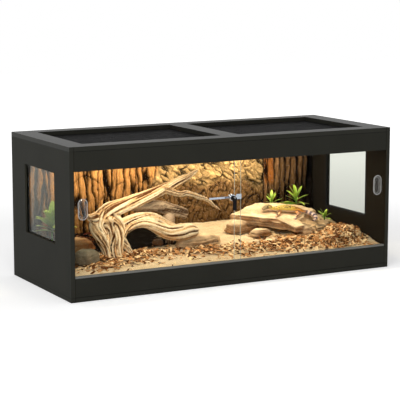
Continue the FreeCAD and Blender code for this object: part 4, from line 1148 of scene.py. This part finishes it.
def wood_paint(*tones):
    """Colours of weathered wood: a painted highlight where it stands out, painted shade in the grooves."""
    pale, dark, high = (plain(tone) for tone in tones)

    def paint(groove, swirl, place):
        stain = 0.5 + 0.5 * noise.noise(place * 20)
        # Painted shade in the grooves, with random darker stains.
        base = blend(blend(dark, pale, step(-0.36, 0.04, groove)), dark, 0.2 * stain)
        # Painted highlight where the wood stands out.
        return blend(base, high, 0.75 * step(-0.02, 0.34, groove + 0.7 * swirl))

    return paint


def merged(limbs, girth, grain):
    """One even skin round several limbs."""
    bm = painted_mesh()
    for path, widths in limbs:
        tube(bm, [inside(*spot) for spot in path], [w * girth for w in widths], lambda t, up: (0, 0, 0),
             sides=28, rings=16 * len(path), lift=(0.3, 1, 0.1))
    bmesh.ops.recalc_face_normals(bm, faces=bm.faces)
    return even_skin(bm, grain)


def make_driftwood(settings):
    """The twisted trunk on its roots with the arched limbs and the twig, and the grey limb behind."""
    girth = settings.girth / 2
    finish = painted_relief("Driftwood", 460, 0.0012, 0.8, (0.62, 1.2))
    limbs = [TRUNK, STUB, KNOT, *LEGS_OF_WOOD, UPPER_ARCH, LOWER_ARCH, TWIG]
    bm = merged(limbs, girth, 0.0026)
    brown = wood_paint(settings.pale, settings.dark, settings.high)
    grooves(bm, limbs, girth, 0.005, brown, seed=1.7, ridges=3.6)
    add_piece("driftwood", bm, finish, ("driftwood_main", "driftwood_upper_arch", "driftwood_lower_arch",
                                       "driftwood_twig"))
    limbs = [LOG, LOG_ROOT]
    bm = merged(limbs, girth, 0.003)
    grooves(bm, limbs, girth, 0.0022, wood_paint(*GREY_WOOD), seed=6.1, ridges=3.0, twist=0.5, fine=0.6)
    add_piece("grey_limb", bm, finish, ("driftwood_log",))


# Plants.


def leaf(bm, foot, turn, rise, length, width, droop, colours):
    """A long pointed leaf, folded along its midrib, that droops to its tip."""
    tint = bm.verts.layers.float_color["tint"]
    old, young = colours
    out = Vector((math.cos(turn), math.sin(turn), 0))
    side = Vector((-out.y, out.x, 0))
    for v in bmesh.ops.create_grid(bm, x_segments=4, y_segments=9, size=0.5)["verts"]:
        s, t = v.co.x * 2, v.co.y + 0.5
        lift = length * (t * math.sin(rise) - droop * t * t)
        breadth = width / 2 * (math.sin(math.pi * min(t * 0.94 + 0.06, 1)) ** 0.75)
        v.co = foot + out * (length * t * math.cos(rise)) + side * (s * breadth)
        v.co.z += lift + 0.28 * abs(s) * breadth
        v[tint] = (*blend(old, young, min(1.0, 0.15 + t * 0.9) * (0.8 if abs(s) < 0.3 else 1)), 1)


# Each plant: its node, spot, number of leaves, their length and width, height of its stem.
PLANTS = (
    ("left_plant", (-0.86, 0.78, 0.05), 18, 0.1, 0.024, 0.05),
    ("right_plant_large", (0.8, 0.81, 0.1), 13, 0.08, 0.0125, 0.036),
    ("right_plant_small", (0.62, 0.81, 0.1), 12, 0.055, 0.0105, 0.03),
    ("front_plant", (0.91, 0.62, 0.02), 11, 0.046, 0.011, 0.018),
)
# Half widths of a stem below the sand, at it and at its top, and how deep it reaches.
STEM = (0.003, 0.003, 0.0015)
STEM_FOOT = 0.02
# The turn from one leaf to the next, in radians.
LEAF_TURN = 2.4
MOSS_GREEN = plain((0.42, 0.40, 0.13))
# The dry leaves: how many are dropped, where along X and Y, and their two colours.
DRY_LEAVES = 130
DRY_X, DRY_Y = (-0.57, -0.33), (0.05, 0.2)
DRY_COLOURS = ((0.42, 0.20, 0.12), (0.50, 0.32, 0.17))


def make_plants(settings):
    """The plants: narrow leaves all round a short stem."""
    colours = plain(settings.old), plain(settings.young)
    finish = leaf_green("Leaf")
    for k, (node, spot, leaves, length, width, stem) in enumerate(PLANTS):
        dice = random.Random(k * 11 + 3)
        bm = painted_mesh()
        foot = inside(*spot)
        low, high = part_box(node)
        foot.x, foot.y = (low.x + high.x) / 2, (low.y + high.y) / 2
        top = foot + Vector((0, 0, stem))
        tube(bm, [foot - Vector((0, 0, STEM_FOOT)), foot, top], STEM, lambda t, up: colours[0],
             sides=8, rings=10, lift=(1, 0, 0))
        for n in range(leaves):
            share = n / (leaves - 1)
            start = foot.lerp(top, 0.2 + 0.8 * share)
            rise = math.radians(8 + 66 * share + dice.uniform(-8, 8))
            reach = length * dice.uniform(0.75, 1.0) * (1 - 0.15 * share)
            light = dice.uniform(0.8, 1.15)
            turn = n * LEAF_TURN + dice.uniform(-0.3, 0.3)
            droop = dice.uniform(0.1, 0.32)
            leaf(bm, start, turn, rise, reach, width, droop, [scaled(tone, light) for tone in colours])
        add_piece(node + "_leaves", bm, finish, (node,))


def make_moss(settings):
    """The moss behind the slab, and the dry leaves at the left."""
    old = plain(settings.old)

    def paint(v, bump, layer):
        return blend(old, MOSS_GREEN, held(0.6 + 1.2 * bump))

    bm = weather(remeshed("moss_patch", 0.004), 0.004, 90, paint, soften=3)
    finish = painted_relief("Moss", 800, 0.003, 0.95, (0.6, 1.3))
    add_piece("moss", bm, finish, ("moss_patch",))

    dice = random.Random(21)
    floor = ground()
    bm = painted_mesh()
    for _ in range(DRY_LEAVES):
        hit = drop(floor, dice.uniform(*DRY_X), dice.uniform(*DRY_Y))[0]
        if hit is None:
            continue
        light = dice.uniform(0.35, 0.9)
        shade = scaled(plain(dice.choice(DRY_COLOURS)), light)
        hit.z += dice.uniform(0.001, 0.012)
        turn, rise = dice.uniform(0, math.tau), dice.uniform(-0.1, 0.5)
        length, width = dice.uniform(0.02, 0.04), dice.uniform(0.008, 0.015)
        leaf(bm, hit, turn, rise, length, width, 0.3, (shade, shade))
    add_piece("dry_leaves", bm, painted_relief("Dry leaf", 300, 0.0006, 0.8))


# The reptile on the slab. Points in metres; half widths along them.

SPINE = ((0.267, 0.053, 0.184), (0.281, 0.058, 0.189), (0.298, 0.061, 0.190), (0.314, 0.052, 0.185),
         (0.334, 0.048, 0.185), (0.365, 0.043, 0.183), (0.398, 0.039, 0.178), (0.421, 0.034, 0.171),
         (0.443, 0.020, 0.164), (0.451, -0.004, 0.157), (0.438, -0.030, 0.150), (0.414, -0.044, 0.146))
GIRTHS = (0.0045, 0.0095, 0.0120, 0.0090, 0.0125, 0.0150, 0.0120, 0.0075, 0.0095, 0.0090, 0.0060, 0.0010)
LEGS = (
    (((0.331, 0.041, 0.178), (0.322, 0.024, 0.173), (0.303, 0.012, 0.1665), (0.290, 0.003, 0.1625)),
     (0.0058, 0.0050, 0.0036, 0.0030)),
    (((0.328, 0.055, 0.180), (0.312, 0.075, 0.183), (0.296, 0.082, 0.1845)), (0.0042, 0.0034, 0.0022)),
    (((0.398, 0.032, 0.172), (0.394, 0.012, 0.168), (0.380, 0.002, 0.160), (0.368, -0.008, 0.1555)),
     (0.0070, 0.0060, 0.0042, 0.0034)),
    (((0.402, 0.045, 0.174), (0.412, 0.064, 0.176), (0.400, 0.078, 0.179)), (0.005, 0.004, 0.0026)),
)
YELLOW, ORANGE = plain((0.86, 0.74, 0.30)), plain((0.88, 0.58, 0.20))
HEAD, BELLY = plain((0.52, 0.45, 0.30)), plain((0.84, 0.74, 0.66))
BANDS = plain((0.80, 0.70, 0.62)), plain((0.26, 0.20, 0.26))
# The toes' length, how far they sink and their half widths.
TOE = 0.0085
TOE_SINKS = 0.0012
TOE_WIDTHS = (0.0017, 0.0015, 0.0012)
# The eyes' radius, the point between them, and how far each lies from it.
EYE = 0.0026
BETWEEN_EYES = (0.2865, 0.0585, 0.1935)
EYE_SPREAD = 0.0088
# The middle along X of the dots on its back, and how far they reach from it.
DOTS_MIDDLE = 0.36
DOTS_REACH = (0.06, 0.08)


def reptile_skin(t, up):
    """Colour of the body at a share of its length. up is 1 on its back and -1 under its belly."""
    back = blend(blend(HEAD, YELLOW, step(0.08, 0.28, t)), ORANGE, step(0.45, 0.6, t))
    tail = blend(*BANDS, step(0.3, 0.6, 0.5 + 0.5 * math.sin(t * 85)))
    return blend(BELLY, blend(back, tail, step(0.64, 0.7, t)), step(-0.75, -0.2, up))


def make_reptile():
    """A spotted reptile that lies on the slab."""
    bm = painted_mesh()
    tube(bm, [Vector(p) for p in SPINE], GIRTHS, reptile_skin, flat=0.82, sides=24, rings=120)
    for path, widths in LEGS:
        points = [Vector(p) for p in path]
        tube(bm, points, widths, lambda t, up: blend(ORANGE, BELLY, 0.1 + 0.5 * t), 0.9, 12, 24)
        foot = points[-1]
        ahead = (foot - points[-2]).normalized()
        side = Vector((-ahead.y, ahead.x, 0)).normalized()
        for spread in (-1.0, -0.5, 0.0, 0.5, 1.0):
            tip = foot + (ahead + side * spread).normalized() * TOE - Vector((0, 0, TOE_SINKS))
            knuckle = foot.lerp(tip, 0.5) + Vector((0, 0, 0.0008))
            tube(bm, [foot, knuckle, tip], TOE_WIDTHS, lambda t, up: BELLY, sides=8, rings=8)
    dotted = bm.verts.layers.float_color.new("dotted")
    bmesh.ops.recalc_face_normals(bm, faces=bm.faces)
    bm.normal_update()
    for v in bm.verts:
        share = step(0.0, 0.45, v.normal.z) * (1 - step(*DOTS_REACH, abs(v.co.x - DOTS_MIDDLE)))
        v[dotted] = (share, share, share, 1)
    add_piece("reptile", bm, scaly_skin("Skin"))

    eyes = bmesh.new()
    for across in (-EYE_SPREAD, EYE_SPREAD):
        place = Vector(BETWEEN_EYES) + Vector((0, across, 0))
        bmesh.ops.create_uvsphere(eyes, u_segments=16, v_segments=10, radius=EYE,
                                  matrix=Matrix.Translation(place))
    add_piece("reptile_eyes", eyes, moulded("Eye", (0.10, 0.08, 0.06), 0.1))


# The stage.

WHITE = (1, 1, 1)
WARM = (1.0, 0.86, 0.68)
# The soft white lamp: its place, the point that it shines at, its power and its size.
KEY_LAMP = (-2.2, -2.6, 3.2), (0, 0, 0.2), 72, (2.5, 2.5)
# The warm lamps under the top: name, place, point, share of the settings' power, size.
WARM_LAMPS = (
    ("heat_bark", (-0.03, 0.13, 0.458), (-0.03, 0.19, 0.1), 0.285, (0.94, 0.03)),
    ("heat_wood", (-0.30, -0.19, 0.458), (-0.29, -0.03, 0.14), 0.145, (0.3, 0.05)),
    ("heat_slab", (0.28, -0.05, 0.458), (0.3, 0.02, 0.1), 0.15, (0.3, 0.05)),
)
# The world's strength as a light, and as the camera, gloss and glass see it.
WORLD_LIGHT, WORLD_SEEN = 0.5, 1.0
FLOOR_HALF = 9
SENSOR = 36
CAMERA_PLACE = (-2.3647, -4.3807, 1.0419)
CAMERA_AIM = (-0.0129, 0, 0.2478)


def look(thing, place, aim):
    """Puts a lamp or a camera in its place and turns it to a point."""
    thing.location = place
    thing.rotation_euler = (Vector(aim) - Vector(place)).to_track_quat("-Z", "Y").to_euler()
    return thing


def lamp(name, place, aim, power, size, colour=WHITE):
    """A flat lamp that shines from a place towards a point."""
    data = bpy.data.lights.new(name, "AREA")
    data.energy = power
    data.color = colour
    data.shape = "RECTANGLE"
    data.size, data.size_y = size
    return look(in_scene(name, data), place, aim)


def studio_floor():
    """The pale floor. It glows less near the cabinet, so that the shadow shows."""
    bm = bmesh.new()
    bmesh.ops.create_grid(bm, x_segments=1, y_segments=1, size=FLOOR_HALF)
    mesh = as_mesh("floor", bm)
    f = Finish("Floor")
    pale = f.mix(f.noise(2, 2), (0.93, 0.93, 0.93), (0.95, 0.95, 0.95))
    away = (f.axis(0) ** 2 + f.axis(1) ** 2) ** 0.5
    glow = f.ramp(away * 0.1, (0.12, (0.32, 0.32, 0.32)), (0.3, (0.75, 0.75, 0.75)))
    mesh.materials.append(f.done(f.surface(Base_Color=pale, Roughness=1.0, Specular_IOR_Level=0.0,
                                           Emission_Color=glow, Emission_Strength=1.0)))
    floor = in_scene("floor", mesh)
    floor.location.z = -CLEAR
    return floor


def studio_world():
    """A white world: weak as a light, and full white to the camera, to gloss and through glass."""
    f = Finish("Studio", "worlds")
    lit = f.node("Background", {0: four(WHITE), 1: WORLD_LIGHT})
    white = f.node("Background", {0: four(WHITE), 1: WORLD_SEEN})
    seen = f.node("LightPath", output="Is Camera Ray")
    for kind in ("Is Glossy Ray", "Is Transmission Ray"):
        seen = seen.larger(f.node("LightPath", output=kind))
    return f.done(f.node("MixShader", {0: seen, 1: lit, 2: white}), "OutputWorld")


def make_stage(settings):
    """The floor, the soft white light, the warm light inside, and the camera."""
    scene = bpy.context.scene
    scene.view_settings.view_transform = "Standard"
    floor = studio_floor()
    scene.world = studio_world()
    lights = [lamp("key", *KEY_LAMP)]
    for name, place, aim, share, size in WARM_LAMPS:
        lights.append(lamp(name, place, aim, settings.heat_lamp * share, size, WARM))
    data = bpy.data.cameras.new("camera")
    data.lens = settings.lens
    data.sensor_width = SENSOR
    camera = look(in_scene("camera", data), CAMERA_PLACE, CAMERA_AIM)
    scene.camera = camera


# The add-on.


GROUPS = (
    ("terrarium_cabinet", CabinetSettings),
    ("terrarium_bark", BarkSettings),
    ("terrarium_sand", SandSettings),
    ("terrarium_wood", WoodSettings),
    ("terrarium_stone", StoneSettings),
    ("terrarium_chips", ChipSettings),
    ("terrarium_plants", PlantSettings),
    ("terrarium_stage", StageSettings),
)


class TERRARIUM_OT_cabinet(bpy.types.Operator):
    """Finish the boards, the glass, the runners and the lock"""

    bl_idname = "terrarium.cabinet"
    bl_label = "Cabinet"

    def execute(self, context):
        make_cabinet(context.scene.terrarium_cabinet)
        return {"FINISHED"}


class TERRARIUM_OT_wires(bpy.types.Operator):
    """Make the wire meshes in the top"""

    bl_idname = "terrarium.wires"
    bl_label = "Wire Meshes"

    def execute(self, context):
        make_wires(context.scene.terrarium_cabinet)
        return {"FINISHED"}


class TERRARIUM_OT_screws(bpy.types.Operator):
    """Make the screws round the back panel"""

    bl_idname = "terrarium.screws"
    bl_label = "Back Screws"

    def execute(self, context):
        make_screws()
        return {"FINISHED"}


class TERRARIUM_OT_bark(bpy.types.Operator):
    """Make the bark panel"""

    bl_idname = "terrarium.bark"
    bl_label = "Bark"

    def execute(self, context):
        make_bark(context.scene.terrarium_bark)
        return {"FINISHED"}


class TERRARIUM_OT_sand(bpy.types.Operator):
    """Make the sand bed"""

    bl_idname = "terrarium.sand"
    bl_label = "Sand"

    def execute(self, context):
        make_sand(context.scene.terrarium_sand)
        return {"FINISHED"}


class TERRARIUM_OT_heaps(bpy.types.Operator):
    """Make the heaps under the chips"""

    bl_idname = "terrarium.heaps"
    bl_label = "Heaps"

    def execute(self, context):
        make_heaps(context.scene.terrarium_chips)
        return {"FINISHED"}


class TERRARIUM_OT_stones(bpy.types.Operator):
    """Make the slab, its props and the boulders"""

    bl_idname = "terrarium.stones"
    bl_label = "Stones"

    def execute(self, context):
        make_stones(context.scene.terrarium_stone)
        return {"FINISHED"}


class TERRARIUM_OT_driftwood(bpy.types.Operator):
    """Make the driftwood and the grey limb"""

    bl_idname = "terrarium.driftwood"
    bl_label = "Driftwood"

    def execute(self, context):
        make_driftwood(context.scene.terrarium_wood)
        return {"FINISHED"}


class TERRARIUM_OT_moss(bpy.types.Operator):
    """Make the moss and the dry leaves"""

    bl_idname = "terrarium.moss"
    bl_label = "Moss"

    def execute(self, context):
        make_moss(context.scene.terrarium_plants)
        return {"FINISHED"}


class TERRARIUM_OT_plants(bpy.types.Operator):
    """Make the plants"""

    bl_idname = "terrarium.plants"
    bl_label = "Plants"

    def execute(self, context):
        make_plants(context.scene.terrarium_plants)
        return {"FINISHED"}


class TERRARIUM_OT_chips(bpy.types.Operator):
    """Scatter the bark chips"""

    bl_idname = "terrarium.chips"
    bl_label = "Chips"

    def execute(self, context):
        make_chips(context.scene.terrarium_chips)
        return {"FINISHED"}


class TERRARIUM_OT_reptile(bpy.types.Operator):
    """Make the reptile on the slab"""

    bl_idname = "terrarium.reptile"
    bl_label = "Reptile"

    def execute(self, context):
        make_reptile()
        return {"FINISHED"}


class TERRARIUM_OT_stage(bpy.types.Operator):
    """Set the floor, the light and the camera"""

    bl_idname = "terrarium.stage"
    bl_label = "Stage"

    def execute(self, context):
        make_stage(context.scene.terrarium_stage)
        return {"FINISHED"}


OPERATORS = (
    TERRARIUM_OT_cabinet, TERRARIUM_OT_wires, TERRARIUM_OT_screws, TERRARIUM_OT_bark,
    TERRARIUM_OT_sand, TERRARIUM_OT_heaps, TERRARIUM_OT_stones, TERRARIUM_OT_driftwood,
    TERRARIUM_OT_moss, TERRARIUM_OT_plants, TERRARIUM_OT_chips, TERRARIUM_OT_reptile,
    TERRARIUM_OT_stage,
)


class TERRARIUM_PT_panel(bpy.types.Panel):
    """The terrarium's pieces."""

    bl_label = "Terrarium"
    bl_space_type = "VIEW_3D"
    bl_region_type = "UI"
    bl_category = "Terrarium"

    def draw(self, context):
        for operator in OPERATORS:
            self.layout.operator(operator.bl_idname)
        for name, kind in GROUPS:
            box = self.layout.box()
            for key in kind.__annotations__:
                box.prop(getattr(context.scene, name), key)


def register():
    """Makes the settings, the operators and the panel known to Blender."""
    for name, kind in GROUPS:
        bpy.utils.register_class(kind)
        setattr(bpy.types.Scene, name, PointerProperty(type=kind))
    for kind in (*OPERATORS, TERRARIUM_PT_panel):
        bpy.utils.register_class(kind)


def unregister():
    """Takes them away again."""
    for kind in (TERRARIUM_PT_panel, *reversed(OPERATORS)):
        bpy.utils.unregister_class(kind)
    for name, kind in reversed(GROUPS):
        delattr(bpy.types.Scene, name)
        bpy.utils.unregister_class(kind)


def main():
    register()
    bpy.ops.terrarium.cabinet()
    bpy.ops.terrarium.wires()
    bpy.ops.terrarium.screws()
    bpy.ops.terrarium.bark()
    bpy.ops.terrarium.sand()
    bpy.ops.terrarium.heaps()
    bpy.ops.terrarium.stones()
    bpy.ops.terrarium.driftwood()
    bpy.ops.terrarium.moss()
    bpy.ops.terrarium.plants()
    bpy.ops.terrarium.chips()
    bpy.ops.terrarium.reptile()
    bpy.ops.terrarium.stage()


if __name__ == "__main__":
    main()
